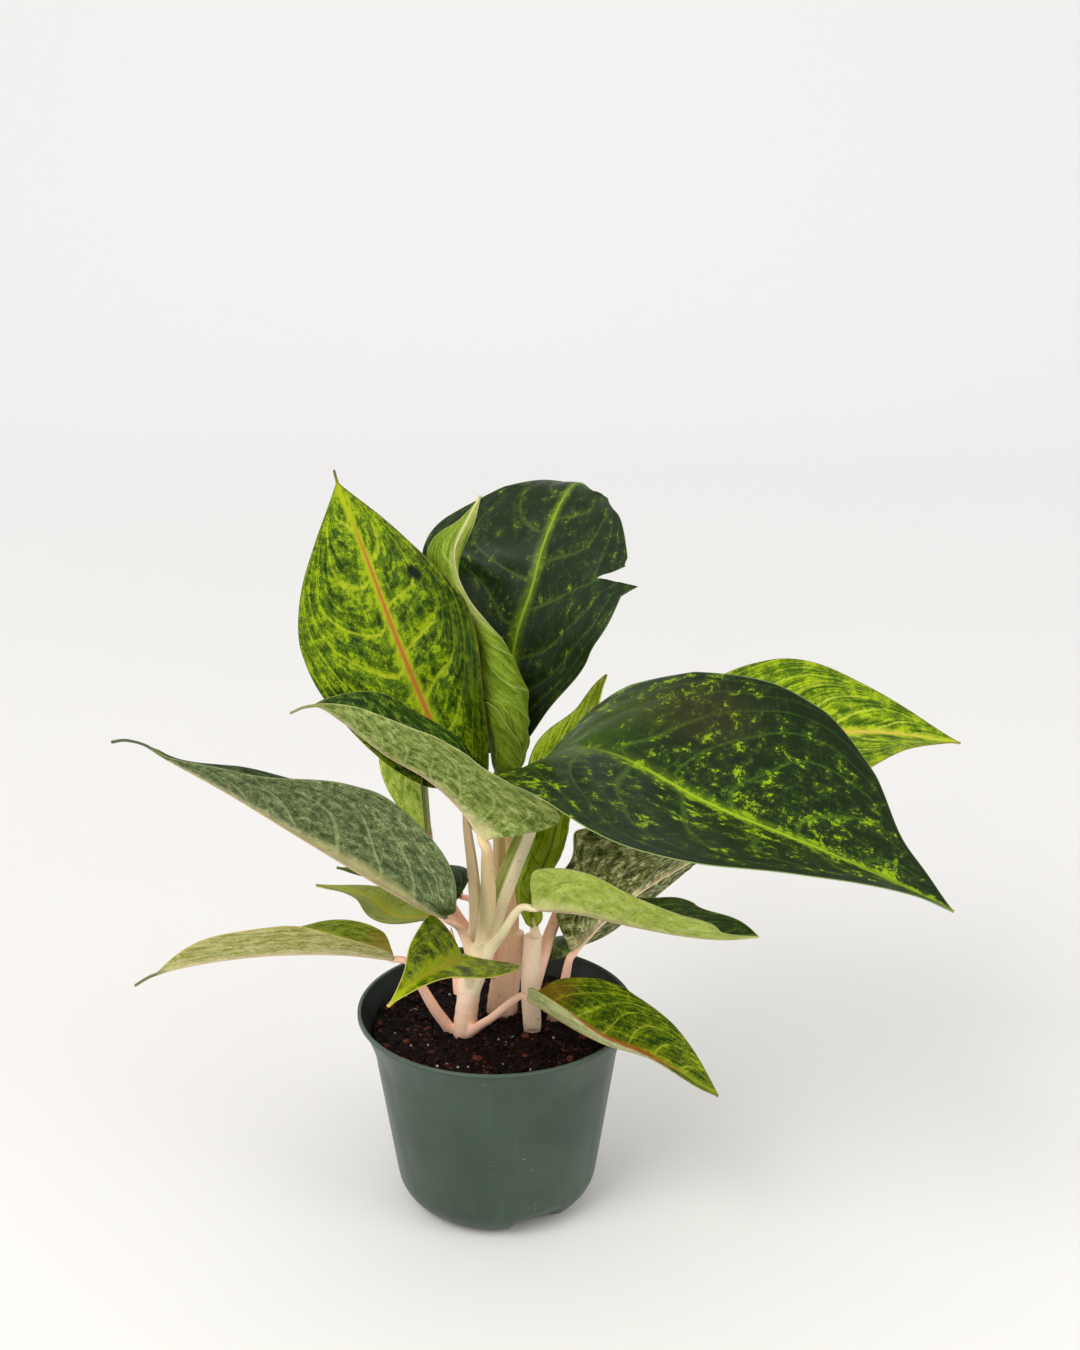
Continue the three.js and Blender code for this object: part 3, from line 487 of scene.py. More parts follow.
MID = dict(
    PLAIN, dark=(30, 52, 16), mid=(58, 84, 24), light=(112, 136, 40), bias=0.4, patch=7, vein=(116, 138, 56),
    rib=(196, 184, 116), rib_edge=(122, 146, 46), margin=(170, 168, 110), low_dark=(66, 84, 40),
    low=(100, 116, 68), low_light=(158, 166, 112), low_vein=(162, 170, 118), low_rib=(228, 204, 166), veins=8,
    sweep=[0.16, 0.36], gloss=0.48)
LOOKS = {
    # upper_left: its last mark is painted shadow, dark on both sides of the left half near the base, where the
    # mid-left leaf lies over it
    "upper_left": dict(
        LIME, rib=(182, 104, 48), rib_wide=2.8, light=(146, 170, 14), margin=(100, 84, 30), bias=0.43,
        lined=1.6, tip=(84, 84, 50), tip_from=0.93, rib_reach=3.2,
        stains_and_shades=[[0.65, 0.652, 0.13, 0.03, (10, 20, 8), 1.0], [0.85, 0.36, 0.34, 0.4, (22, 44, 6), 0.8],
                [-0.4, 0.1, 0.9, 0.13, (16, 30, 10), 0.95, "both"]]),
    "top_dark": dict(
        DARK, bias=0.15, shine=0.15, vein=(66, 90, 28), stains_and_shades=[[0.97, 0.585, 0.06, 0.014, (96, 74, 34), 0.6]]),
    "top_rolled": dict(
        MID, low_dark=(78, 100, 16), low=(116, 140, 30), low_light=(150, 168, 60), low_vein=(160, 176, 90),
        low_rib=(204, 200, 140), streak=0.6, contrast=0.6),
    "mid_left": dict(
        MID, patch=6, contrast=0.95, low_dark=(78, 98, 36), low=(132, 148, 72), low_light=(184, 194, 124),
        low_vein=(176, 188, 116), dark=(24, 44, 14), mid=(46, 72, 20), light=(112, 140, 44), tip=(120, 124, 70),
        stains_and_shades=[[0.0, 0.02, 0.34, 0.08, (216, 206, 146), 0.75, "both"]]),
    "long_left": dict(
        MID, patch=5, low_dark=(56, 70, 38), low=(98, 112, 70), low_light=(154, 164, 110), contrast=0.9,
        fleck=1.6, dark=(26, 40, 20), mid=(48, 64, 34), light=(84, 104, 54),
        stains_and_shades=[[0, 0.1, 0.2, 0.5, (196, 186, 124), 0.42, "both"]], tip=(66, 76, 62), margin=(126, 134, 92)),
    "low_left": dict(
        MID, low_dark=(124, 128, 52), low=(174, 172, 104), low_light=(212, 206, 160), mid=(84, 104, 16),
        light=(130, 140, 40), bias=0.6, streak=0.6, margin=(190, 168, 100), tip=(84, 96, 56),
        stains_and_shades=[[0.0, 0.02, 1.4, 0.1, (150, 104, 60), 0.6]]),
    "small_left": dict(
        LIME, bias=0.8, dark=(92, 108, 20), mid=(122, 136, 40), light=(160, 170, 76), vein=(170, 180, 100)),
    "hidden_left": DARK,
    "back_left": dict(
        LIME, dark=(88, 114, 8), mid=(134, 158, 30), light=(176, 188, 80), rib=(128, 112, 30),
        rib_edge=(120, 130, 20), vein=(130, 146, 30)),
    "small_front": dict(
        LIME, bias=0.42, contrast=1.15, dark=(26, 46, 2), mid=(100, 122, 8), light=(158, 172, 14),
        rib=(180, 166, 44), margin=(200, 186, 90)),
    "large_right": dict(
        DARK, patch=9, bias=0.22, islands=0.17, light=(138, 168, 12), shine=0.07, vein=(66, 92, 24), lined=0.3,
        halo=0.5, fleck=0.75, contrast=1.25, rib_from=0.5, rib=(150, 172, 34), margin=(150, 168, 104),
        stains_and_shades=[[-0.62, 0.3, 0.32, 0.2, (66, 56, 34), 0.45], [0.3, 0.06, 0.9, 0.16, (92, 122, 22), 0.3],
                [-0.4, 0.1, 0.6, 0.2, (74, 102, 20), 0.35]]),
    "far_right": dict(
        LIME, bias=0.36, sweep=[0.3, 0.5], dark=(54, 82, 2), mid=(108, 136, 6), light=(160, 178, 22), lined=2.4,
        vein=(182, 194, 70), rib=(212, 172, 84), rib_edge=(186, 188, 50), margin=(150, 116, 60)),
    "spear": dict(
        LIME, bias=0.45, dark=(96, 126, 10), mid=(176, 200, 36), light=(214, 224, 100), low_dark=(96, 126, 10),
        low=(176, 200, 36), low_light=(214, 224, 100), streak=0.7, rib=(128, 140, 40), vein=(120, 138, 34)),
    "back_right": dict(
        MID, low_dark=(40, 50, 10), low=(104, 110, 48), low_light=(204, 200, 146), contrast=1.2,
        low_rib=(240, 212, 170), margin=(200, 190, 110)),
    "mid_right": dict(
        MID, low_dark=(132, 152, 54), low=(176, 192, 88), low_light=(206, 216, 136), contrast=0.7,
        mid=(50, 74, 14), light=(96, 120, 20)),
    "low_right": dict(
        LIME, bias=0.27, mid=(96, 114, 10), light=(148, 164, 22), vein=(160, 168, 50), rib=(186, 110, 50),
        rib_edge=(120, 138, 20), low_dark=(140, 150, 84), low=(186, 192, 134), low_light=(212, 212, 166),
        streak=0.5, tip=(118, 84, 44), tip_from=0.95,
        stains_and_shades=[[0.0, 0.03, 1.2, 0.16, (134, 92, 26), 0.75], [0.0, 0.46, 0.14, 0.3, (160, 36, 18), 0.85],
                [1.0, 0.48, 0.2, 0.26, (170, 30, 16), 0.95, "both"]]),
}

SLOTS = {row["node"]: row["material_slot"] for row in frame["record"]["subparts"]}

BASE_HALF_WIDTH = 2.2
TIP_HALF_WIDTH = 0.35
LOBE_LENGTH = 0.3  # share of the blade's length over which a lobe dies out
LOBE_POWER = 1.5
POINT_TAPER = 1.6
MIDDLE_THICKNESS = 0.8
MARGIN_THICKNESS = 0.45
ROW_LENGTH = 1.9  # of midrib for each row of corners
ROW_EVENNESS = 0.55  # the rest of their spacing is closer at base and tip
ACROSS = 17  # corners across each half
ACROSS_EVENNESS = 0.55  # the rest of their spacing is closer at the margin
RIB_ROUNDING = 1.6  # the fold at the midrib is rounded this far out
TEAR_STEPS = (0.03, 0.12, 0.25, 0.4, 0.55, 0.7, 0.85, 1)
TEAR_CLEAR = 1.05  # the ordinary rows of corners stay this far off a tear
TEAR_POWER = 0.8
TEAR_INNER = 0.5  # share across the half from where the tear pulls corners in

STAGGER = 0.45  # the left half's veins, further on than the right half's
WANDER, WANDER_SCALE = 0.35, 0.03
QUILT, QUILT_WIDTH = 0.9, 30  # swell between two veins, full from this half width up
SAG, SAG_SCALE = 1.4, 0.022  # slow unevenness of the whole blade
GROOVE = 0.55  # of the midrib on the upper side
KEEL = 1.5  # of the midrib on the lower side
SMALL_RIDGE = 0.22  # of the veins on the lower side
RIB_HALF, RIB_TAPER = 2.3, 1.8
GRAIN_APART = 40.0  # sets one blade's mottling apart from the next one's
SMALL_MARK = 0.2  # a mark up to this wide, stain and painted shade alike, is solid, a wider one is broken up


def outline(t, shape):
    peak = shape["peak"]
    near_base = np.power(np.clip(1 - ((peak - t) / peak) ** 2, 0, 1), shape["round"])
    past = np.clip((t - peak) / (1 - peak), 0, 1)
    near_tip = np.power(np.clip(1 - past ** POINT_TAPER, 0, 1), shape["point"])
    return np.where(t < peak, shape["base"] + (1 - shape["base"]) * near_base, near_tip)


def blade_rows(leaf, length):
    even = np.linspace(0, 1, int(length / ROW_LENGTH) + 1)
    rows = ROW_EVENNESS * even + (1 - ROW_EVENNESS) / 2 * (1 - np.cos(np.pi * even))
    if "tear" in leaf:
        at, before, after = (leaf["tear"][key] for key in ("at", "before", "after"))
        kept = rows[(rows < at - before * TEAR_CLEAR) | (rows > at + after * TEAR_CLEAR)]
        steps = np.array(TEAR_STEPS)
        rows = np.sort(np.concatenate([kept, at - before * steps, at + after * steps]))
    return rows


def half_blade(leaf, route, t, hand):
    """Corners, shares across and half widths of one half of a blade, from midrib to margin."""
    shape = {**PLAIN_BLADE, **leaf, **leaf["left" if hand < 0 else "right"]}
    centre, along = route.at(t)
    start, end = (np.asarray(face, float) for face in leaf["face"])
    face = start + (end - start) * t[:, None]
    face = unit(face - along * (face * along).sum(-1, keepdims=True))
    side = np.cross(along, face) * hand
    run, t = t, np.minimum(t / shape["body"], 1)
    share = outline(t, shape)
    for at, depth, spread in shape["dents"]:
        share = share * (1 - depth * np.exp(-((t - at) / spread) ** 2))
    reach = shape["corner"] * shape["base"] * shape["width"] / route.length
    corner = np.sqrt(np.clip(1 - (1 - np.clip(t / reach, 0, 1)) ** 2, 0, 1))
    least = BASE_HALF_WIDTH + (TIP_HALF_WIDTH - BASE_HALF_WIDTH) * run
    width = np.maximum(shape["width"] * share * corner, least)
    even = np.linspace(0, 1, ACROSS + 1)
    nominal = ACROSS_EVENNESS * even + (1 - ACROSS_EVENNESS) * np.sin(np.pi / 2 * even)
    v = nominal = np.repeat(nominal[None, :], len(t), 0)
    if "tear" in leaf and leaf["tear"]["hand"] == hand:
        tear = leaf["tear"]
        away = np.where(t < tear["at"], (tear["at"] - t) / tear["before"], (t - tear["at"]) / tear["after"])
        torn = tear["depth"] * np.maximum(0, 1 - away ** TEAR_POWER)[:, None]
        v = np.where(v > TEAR_INNER, TEAR_INNER + (v - TEAR_INNER) * (1 - torn / (1 - TEAR_INNER)), v)
    fold = np.radians(three_way(shape["fold"], t))[:, None]
    curl = np.radians(three_way(shape["curl"], t, shape["hold"]))[:, None]
    curl = np.where(np.abs(curl) < 1e-3, 1e-3, curl)
    across = (np.sin(fold + curl * v) - np.sin(fold)) / curl
    above = (np.cos(fold) - np.cos(fold + curl * v)) / curl
    rounding = RIB_ROUNDING / np.maximum(width, 1)[:, None]
    above = above + np.sin(fold) * (np.sqrt(v ** 2 + rounding ** 2) - rounding - v) * (1 - v)
    height, count, phase = shape["wave"]
    ripple = height * np.sin(2 * np.pi * (count * t + phase))[:, None] * v ** 2 * np.sin(np.pi * t)[:, None]
    lobe = shape["lobe"] * (v * corner[:, None]) ** LOBE_POWER * (1 - smooth(t, 0, LOBE_LENGTH))[:, None]
    corners = centre[:, None] + side[:, None] * (across * width[:, None])[..., None]
    corners = corners + face[:, None] * (above * width[:, None] + ripple)[..., None]
    corners = corners - along[:, None] * lobe[..., None]
    return corners, nominal, v, width


def make_blade(name, leaf, look, seed):
    route = Route(leaf["midrib"])
    t = blade_rows(leaf, route.length)
    left = half_blade(leaf, route, t, -1)
    right = half_blade(leaf, route, t, 1)
    top, nominal, signed = (np.concatenate([sign * left[k][:, :0:-1], right[k]], axis=1)
                            for k, sign in ((0, 1), (1, -1), (2, -1)))
    width = np.where(nominal < 0, left[3][:, None], right[3][:, None])
    rows, columns = nominal.shape
    along = np.repeat(t[:, None], columns, 1)
    flat = np.stack([signed * width, along * route.length, np.zeros_like(signed)], -1)
    reach = np.abs(signed)
    near, far = look["sweep"]
    phase = look["veins"] * (along - near * reach - far * reach ** 5)
    phase += np.where(signed < 0, STAGGER, 0) * smooth(reach, 0, 0.1)
    phase += WANDER * noise_at(flat, WANDER_SCALE, seed) * smooth(reach, 0, 0.2)
    ridge = 0.5 + 0.5 * np.cos(2 * np.pi * phase)
    body = smooth(reach, 0.02, 0.2) * (1 - smooth(reach, 0.75, 1))
    body = body * smooth(along, 0, 0.1) * (1 - smooth(along, 0.8, 1))
    relief = QUILT * (0.5 - ridge ** 2) * body * np.minimum(1, width / QUILT_WIDTH)
    relief += SAG * noise_at(flat, SAG_SCALE, seed + 7) * smooth(reach, 0.05, 0.6)
    from_rib = reach * width
    rib_half = RIB_HALF - RIB_TAPER * along
    groove = GROOVE * (1 - 0.7 * along) * np.exp(-(from_rib / (0.6 * rib_half)) ** 2)
    keel = KEEL * (1 - 0.75 * along) * np.exp(-(from_rib / (0.75 * rib_half)) ** 2)
    thick = MARGIN_THICKNESS + (MIDDLE_THICKNESS - MARGIN_THICKNESS) * (1 - nominal ** 2)
    thick = thick + keel + SMALL_RIDGE * ridge ** 8 * body
    normal = unit(np.cross(np.gradient(top, axis=1), np.gradient(top, t, axis=0)))
    upper = top + normal * (relief - groove)[..., None]
    lower = top + normal * (relief - thick)[..., None]
    corners = np.concatenate([upper.reshape(-1, 3), lower.reshape(-1, 3)])

    def quads(*corners):
        return np.stack(corners, -1).reshape(-1, 4)

    def twice(*parts):
        return np.concatenate([np.stack(parts, -1).reshape(-1, 3)] * 2)

    under = rows * columns
    index = np.arange(under).reshape(rows, columns)
    a, b, c, d = index[:-1, :-1], index[:-1, 1:], index[1:, 1:], index[1:, :-1]
    faces = [*quads(a, b, c, d), *(quads(d, c, b, a) + under)]
    for rim in (index[:, 0], index[::-1, -1], index[0, ::-1], index[-1]):
        faces += list(quads(rim[:-1], rim[1:], rim[1:] + under, rim[:-1] + under))
    place = twice(signed, along, np.zeros_like(signed))
    place[under:, 2] = 1
    attributes = {
        "blade": place,
        "edge": twice(from_rib, (1 - np.abs(nominal)) * width, phase),
        "grain": twice(along * route.length, signed * width, np.full_like(signed, seed * GRAIN_APART)),
    }
    piece = make_mesh("blade_" + name, corners, faces, leaf_material("skin_" + name, look), attributes)
    finish_piece(piece, SLOTS["leaf_" + name], "leaf_" + name)


def leaf_material(name, look):
    shader = Shader(name)
    across, along, under = shader.split(shader.attribute("blade"))
    from_rib, to_margin, phase = shader.split(shader.attribute("edge"))
    grain = shader.attribute("grain")
    size = 1 / look["patch"]
    broad = shader.noise(grain, (size, size * 1.2, 1), 3, 0.55, 0.5)
    medium = shader.noise(grain, (0.4, 0.45, 1), 4, 0.7, 0.3)
    fine = shader.noise(grain, (1.4, 1.5, 1), 3, 0.65)
    streaks = shader.noise(grain, (0.05, 0.55, 1), 4, 0.6, 0.4)
    with_veins = shader.noise(shader.join(phase * 6, from_rib * 0.12, shader.split(grain)[2]), 1, 4, 0.65)
    streak, contrast = look["streak"], look["contrast"]
    mottle = (broad - 0.5) * (1.8 * (1 - streak) * contrast)
    for part, weight in ((medium, 1.3 * (1 - 0.5 * streak) * contrast), (fine, look["fleck"]),
                         (streaks, 2.6 * streak), (with_veins, look["lined"])):
        mottle += (part - 0.5) * weight
    # off_vein: 0 on a lateral vein and 0.5 between two. off_rib: 1 at the midrib's edge
    off_vein = abs(shader.math("FRACT", phase + 0.5) - 0.5)
    off_rib = from_rib / (along * (-0.72 * look["rib_wide"]) + look["rib_wide"])
    distance = abs(across)
    vein = off_vein.ramp(0.01, 0.07, 1, 0) * medium.ramp(0.3, 0.55, 0.35, 1)
    vein = vein * distance.ramp(0.2, 1, 1, 0.5) * along.ramp(0.86, 1, 1, 0)
    rib = off_rib.ramp(0.3, 0.95, 1, 0)
    rib_halo = off_rib.ramp(0.6, look["rib_reach"], 1, 0)
    if "rib_from" in look:
        shown = along.ramp(0.12, look["rib_from"], 0.18, 1)
        rib, rib_halo = rib * shown, rib_halo * shown

    tone = mottle + off_vein.ramp(0, 0.3, 0.16 * look["halo"], 0) + rib_halo * 0.35 + (look["bias"] - 0.06)
    if "islands" in look:
        outer = along.ramp(0.3, 0.6)
        tone += outer * (distance.ramp(0.05, 0.62, look["islands"], 0) - distance.ramp(0.72, 1, 0, 0.28))
        sides = across.ramp(0.45, 0.9, 0, 0.15) + across.ramp(-0.8, -0.3, 0.13, 0)
        tone += sides * along.ramp(0.2, 0.45, 1, 0)
    rib_colour = shader.mix(along.ramp(0.72, 0.92), look["rib"], look["rib_edge"])
    upper = shader.layers(
        look["dark"], (tone.ramp(0, 0.45), look["mid"]), (tone.ramp(0.42, 0.72), look["light"]),
        (vein * 0.75, look["vein"]), (rib_halo * 0.55, look["rib_edge"]),
        (rib * medium.ramp(0.3, 0.5, 0.75, 1), rib_colour))

    tone = mottle + rib_halo * 0.18 + 0.3
    lower = shader.layers(
        look["low_dark"], (tone.ramp(0, 0.4), look["low"]), (tone.ramp(0.36, 0.8), look["low_light"]),
        (vein * 0.6, look["low_vein"]), (rib_halo * 0.3, look["low_rib"]), (rib, look["low_rib"]))

    colour = shader.mix(under, upper, lower)
    # marks of the leaf's own colour, and dark patches of painted shade where another leaf shades this one
    for at, up, wide, high, tint, strength, *both in look["stains_and_shades"]:
        large = wide > SMALL_MARK
        x, y = (across - at) / wide, (along - up) / high
        off = (medium - 0.5) * (1.2 if large else 0.3) + shader.math("SQRT", x * x + y * y)
        stain_and_shade = off.ramp(0.45, 1.15, strength, 0) * (1 - rib * 0.7)
        if large:
            stain_and_shade = stain_and_shade * fine.ramp(0.36, 0.6, 0.45, 1)
        if not both:
            stain_and_shade = stain_and_shade * under.ramp(0.4, 0.6, 1, 0)
        colour = shader.mix(stain_and_shade, colour, tint)
    colour = shader.mix(to_margin.ramp(0.1, 0.6, 0.7, 0), colour, look["margin"])
    if "tip" in look:
        start = look["tip_from"]
        colour = shader.mix(along.ramp(start, start + 0.08, 0, 0.85), colour, look["tip"])
    rough = under * 0.12 + medium.ramp(0.3, 0.7, look["gloss"] - 0.06, look["gloss"] + 0.08)
    height = fine * 0.45 - vein * 0.7 + medium * 0.5
    return shader.finish(colour, rough, look["shine"], height, 0.4, 0.3)


# ---- stalks

PALE = (255, 238, 198)
PINK = (254, 202, 178)
BLUSH = (254, 226, 198)
BUFF = (254, 218, 184)
BROWNISH = (236, 208, 160)
GREEN = (132, 150, 44)
LEAFY = (120, 146, 40)

# Each shoot's tubes. through: the stalk's way. to: the blade that a petiole ends in. lead, drop: its own
# PETIOLE_LEAD and PETIOLE_DROP. radii: from foot to top. foot, top: its colours there, else PINK. side:
# a second colour on its left. rings: it has the leaf scars of a cane.
SHOOTS = {
    "stalks_front": dict(slot="stalk_pale", tubes=[
        dict(through=[[-18, -9, 78], [-17, -9, 102], [-15, -10, 122], [-11, -11, 142], [-8, -12, 150]],
             radii=[5.5, 6, 5.6, 5], top=BLUSH, rings=True),
        dict(through=[[-16, -9, 126], [-12, -8, 146], [-10, -6, 166], [-12, 1, 196], [-15, 8, 217]],
             to="upper_left", radii=[4.5, 4, 3.1, 2.4, 1.5], foot=PALE, top=BROWNISH),
        dict(through=[[-12, -12, 132], [-8, -13, 150], [-5, -18, 169], [-3, -27, 193], [-3, -36, 212]],
             to="mid_left", lead=3, radii=[4.5, 4.2, 3.6, 2.5], foot=PALE, top=BROWNISH),
        dict(through=[[-13, -11, 130], [-7, -14, 151], [1, -13, 180], [10, -10, 204], [18, -7, 225]],
             to="large_right", drop=2.8, radii=[5, 5.8, 5.8, 5.2, 1.8], foot=PALE, top=PALE, side=GREEN),
        dict(through=[[-13, -13, 136], [-6, -16, 148], [-2, -21, 158], [4, -26, 169]],
             to="mid_right", radii=[4, 2.9, 2.3, 1.8], foot=PALE, top=PALE),
        dict(through=[[-14, -10, 132], [-13, -12, 150], [-17, -17, 166]],
             to="long_left", radii=[4, 3, 2.4, 1.8], foot=PALE, top=PINK),
        dict(through=[[-13, -11, 130], [-14, -20, 145]],
             to="small_front", lead=4, radii=[4, 2.6, 1.7], foot=PALE, top=LEAFY),
        dict(through=[[-19, -5, 80], [-25, -5, 101], [-33, -8, 116], [-40, -12, 132]],
             to="low_left", radii=[3, 3.4, 3, 2.2, 1.7]),
        dict(through=[[-17, -8, 80], [-15, -12, 101], [-9, -18, 111], [-2, -24, 119]],
             to="low_right", lead=4, radii=[2.6, 2.6, 2.2, 1.7]),
        dict(through=[[-19, -4, 124], [-21, -4, 140], [-24, -4, 163]], radii=[4, 3, 2, 0.5]),
    ]),
    "stalks_rear": dict(slot="stalk_pink", tubes=[
        dict(through=[[3, 16, 78], [3, 16, 104], [5, 17, 121], [8, 18, 142], [9, 19, 150]],
             radii=[6, 8, 7.5, 6], foot=BUFF, top=BUFF, rings=True),
        dict(through=[[7, 18, 130], [8, 23, 165], [6, 31, 198], [4, 37, 227]],
             to="top_dark", radii=[5, 4, 3, 1.9], foot=BUFF, top=BROWNISH),
        dict(through=[[6, 16, 130], [3, 12, 165], [2, 10, 204], [2, 11, 233]],
             to="top_rolled", radii=[5, 4, 3, 1.9], foot=BUFF, top=BROWNISH),
        dict(through=[[4, 18, 120], [-9, 22, 138], [-22, 23, 158], [-34, 29, 180]],
             to="back_left", radii=[5, 3, 2.2, 1.7]),
        dict(through=[[4, 17, 118], [-5, 12, 140], [-16, 7, 157]],
             to="small_left", lead=4, radii=[5, 3, 2, 1.5]),
        dict(through=[[4, 19, 122], [-2, 26, 143], [-9, 34, 155]],
             to="hidden_left", lead=4, radii=[5, 3, 2, 1.6]),
    ]),
    "stalks_right": dict(slot="stalk_pale", tubes=[
        dict(through=[[20, -6, 78], [20, -5, 102], [19, -4, 128], [20, -3, 148]],
             to="spear", radii=[4.2, 4.4, 4.2, 2.2], foot=BLUSH, top=PALE, rings=True),
        dict(through=[[20, -4, 125], [25, 0, 141], [31, 12, 155], [51, 28, 192], [79, 32, 226]],
             to="far_right", radii=[3.8, 3.2, 2.6, 2.2, 2, 1.9], top=PALE),
        dict(through=[[20, -5, 104], [19, -4, 128], [20.4, -4, 158]],
             radii=[4.7, 4.9, 4.6], foot=BLUSH, top=BLUSH),
    ]),
    "stalk_back_right": dict(slot="stalk_pink", tubes=[
        dict(through=[[29, 8, 78], [31, 7, 101], [36, 3, 117], [38, -1, 131]],
             to="back_right", lead=4, radii=[3, 3.2, 2.6, 1.9]),
    ]),
}

PETIOLE_LEAD = 7  # a petiole runs straight for this far before its blade
PETIOLE_GAP = 0.4
PETIOLE_INSIDE = 5  # it ends this far inside the blade's base
PETIOLE_DROP = 1.1  # below the blade's upper side
PETIOLE_THINNING = 0.6
FULLER = 1.08  # stalks are drawn this much thicker than their solids
STALK_SIDES = 20
STALK_STEP = 1.6
RING_APART, RING_SWELL, RING_POWER = 13, 0.035, 8
# the channel along a petiole's upper side and the rims beside it: depth, width and place in radians
CHANNEL_DEPTH, CHANNEL_WIDTH = 0.34, 0.55
RIM_SWELL, RIM_WIDTH, RIM_PLACE = 0.12, 0.3, 0.95
FUSE_VOXEL = 0.6
FUSE_SMOOTHING = 4
RUN_APART = 9.0  # sets one stalk's streaks apart from the next one's


def petiole_end(leaf, back, drop):
    centre, along = Route(leaf["midrib"]).at(np.array([0.0]))
    centre, along = centre[0], along[0]
    face = np.asarray(leaf["face"][0], float)
    face = unit(face - along * np.dot(face, along))
    return centre - along * back - face * drop, face


def stalk_tube(tube):
    """Corners and faces of one stalk, and its middle line, radii and sides for its colours."""
    points = [list(point) for point in tube["through"]]
    upper = np.array([0.0, -1.0, 0.0])
    tail = 0.0
    if "to" in tube:
        for back in (tube.get("lead", PETIOLE_LEAD), PETIOLE_GAP, -PETIOLE_INSIDE):
            point, upper = petiole_end(LEAVES[tube["to"]], back, tube.get("drop", PETIOLE_DROP))
            points.append(point)
        tail = PETIOLE_GAP + PETIOLE_INSIDE
    route = Route(points)
    count = max(6, int(route.length / STALK_STEP))
    u = np.linspace(0, 1, count + 1)
    centre, along = route.at(u)
    whole = 1 - tail / route.length
    station = np.clip(u / whole, 0, 1) * (len(tube["radii"]) - 1)
    radius = np.interp(station, range(len(tube["radii"])), tube["radii"]) * FULLER
    radius = radius * (1 - PETIOLE_THINNING * smooth(u, whole, 1 + 1e-6))
    if tube.get("rings"):
        radius = radius * (1 + RING_SWELL * np.cos(2 * np.pi * u * route.length / RING_APART) ** RING_POWER)
    # the direction of the petiole's upper side, carried down from its blade
    sides = np.zeros((count + 1, 3))
    for i in range(count, -1, -1):
        upper = unit(upper - along[i] * np.dot(upper, along[i]))
        sides[i] = upper
    across = np.cross(along, sides)
    angle = np.linspace(0, 2 * np.pi, STALK_SIDES, endpoint=False)
    off = np.minimum(angle, 2 * np.pi - angle)
    form = RIM_SWELL * np.exp(-((off - RIM_PLACE) / RIM_WIDTH) ** 2)
    form -= CHANNEL_DEPTH * np.exp(-(off / CHANNEL_WIDTH) ** 2)
    channel = smooth(u, 0.1, 0.3) * (1 - smooth(u, 0.55, 0.95)) * ("to" in tube)
    ring = radius[:, None] * (1 + channel[:, None] * form)
    corners = centre[:, None] + sides[:, None] * (ring * np.cos(angle))[..., None]
    corners = corners + across[:, None] * (ring * np.sin(angle))[..., None]
    index = np.arange((count + 1) * STALK_SIDES).reshape(count + 1, STALK_SIDES)
    beside = np.roll(index, -1, axis=1)
    faces = np.stack([index[:-1], beside[:-1], beside[1:], index[1:]], -1).reshape(-1, 4).tolist()
    faces += [index[0, ::-1].tolist(), index[-1].tolist()]
    return corners.reshape(-1, 3), faces, (centre, radius, sides, across, u, route.length)


def make_shoot(name, shoot, material):
    corners, faces, lines = [], [], []
    for tube in shoot["tubes"]:
        tube_corners, tube_faces, line = stalk_tube(tube)
        offset = sum(len(part) for part in corners)
        corners.append(tube_corners)
        faces += [[k + offset for k in face] for face in tube_faces]
        lines.append(line)
    piece = make_mesh("fine_" + name, np.concatenate(corners), faces, material)
    # unite the overlapping tubes into one skin
    remesh = piece.modifiers.new("fuse", "REMESH")
    remesh.mode = "VOXEL"
    remesh.voxel_size = FUSE_VOXEL * MM
    remesh.use_smooth_shade = True
    relax = piece.modifiers.new("relax", "SMOOTH")
    relax.factor = 0.5
    relax.iterations = FUSE_SMOOTHING
    mesh = apply_modifiers(piece)
    mesh.shade_smooth()
    places = corner_places(mesh)
    best = np.full(len(places), 1e9)
    tint, run = np.zeros((2, len(places), 3))
    weight = np.zeros(len(places))
    for order, (tube, line) in enumerate(zip(shoot["tubes"], lines)):
        centre, radius, sides, across, u, length = line
        gap = np.linalg.norm(places[:, None] - centre[None], axis=2)
        nearest = np.argmin(gap - radius[None], axis=1)
        clear = np.maximum(0, gap[np.arange(len(places)), nearest] - radius[nearest])
        offset = places - centre[nearest]
        upward = (offset * sides[nearest]).sum(1)
        sideways = (offset * across[nearest]).sum(1)
        share = u[nearest]
        foot, top, other = (np.array(linear(*tube.get(key, PINK))[:3]) for key in ("foot", "top", "side"))
        colour = foot + (top - foot) * smooth(share, 0.1, 0.9)[:, None]
        if "side" in tube:
            on_side = smooth(-offset[:, 0] / radius[nearest], 0.0, 0.25) * smooth(share, 0.1, 0.4)
            colour = colour + (other - colour) * on_side[:, None]
        near = 1 / (0.05 + clear) ** 3
        tint += colour * near[:, None]
        weight += near
        around = np.arctan2(sideways, upward) * 2.5
        here = np.stack([share * length, around, np.full_like(share, order * RUN_APART)], 1)
        run = np.where((clear < best)[:, None], here, run)
        best = np.minimum(clear, best)
    set_attribute(mesh, "tint", tint / weight[:, None])
    set_attribute(mesh, "run", run)
    mesh.materials.clear()
    mesh.materials.append(material)
    finish_piece(piece, shoot["slot"], name)


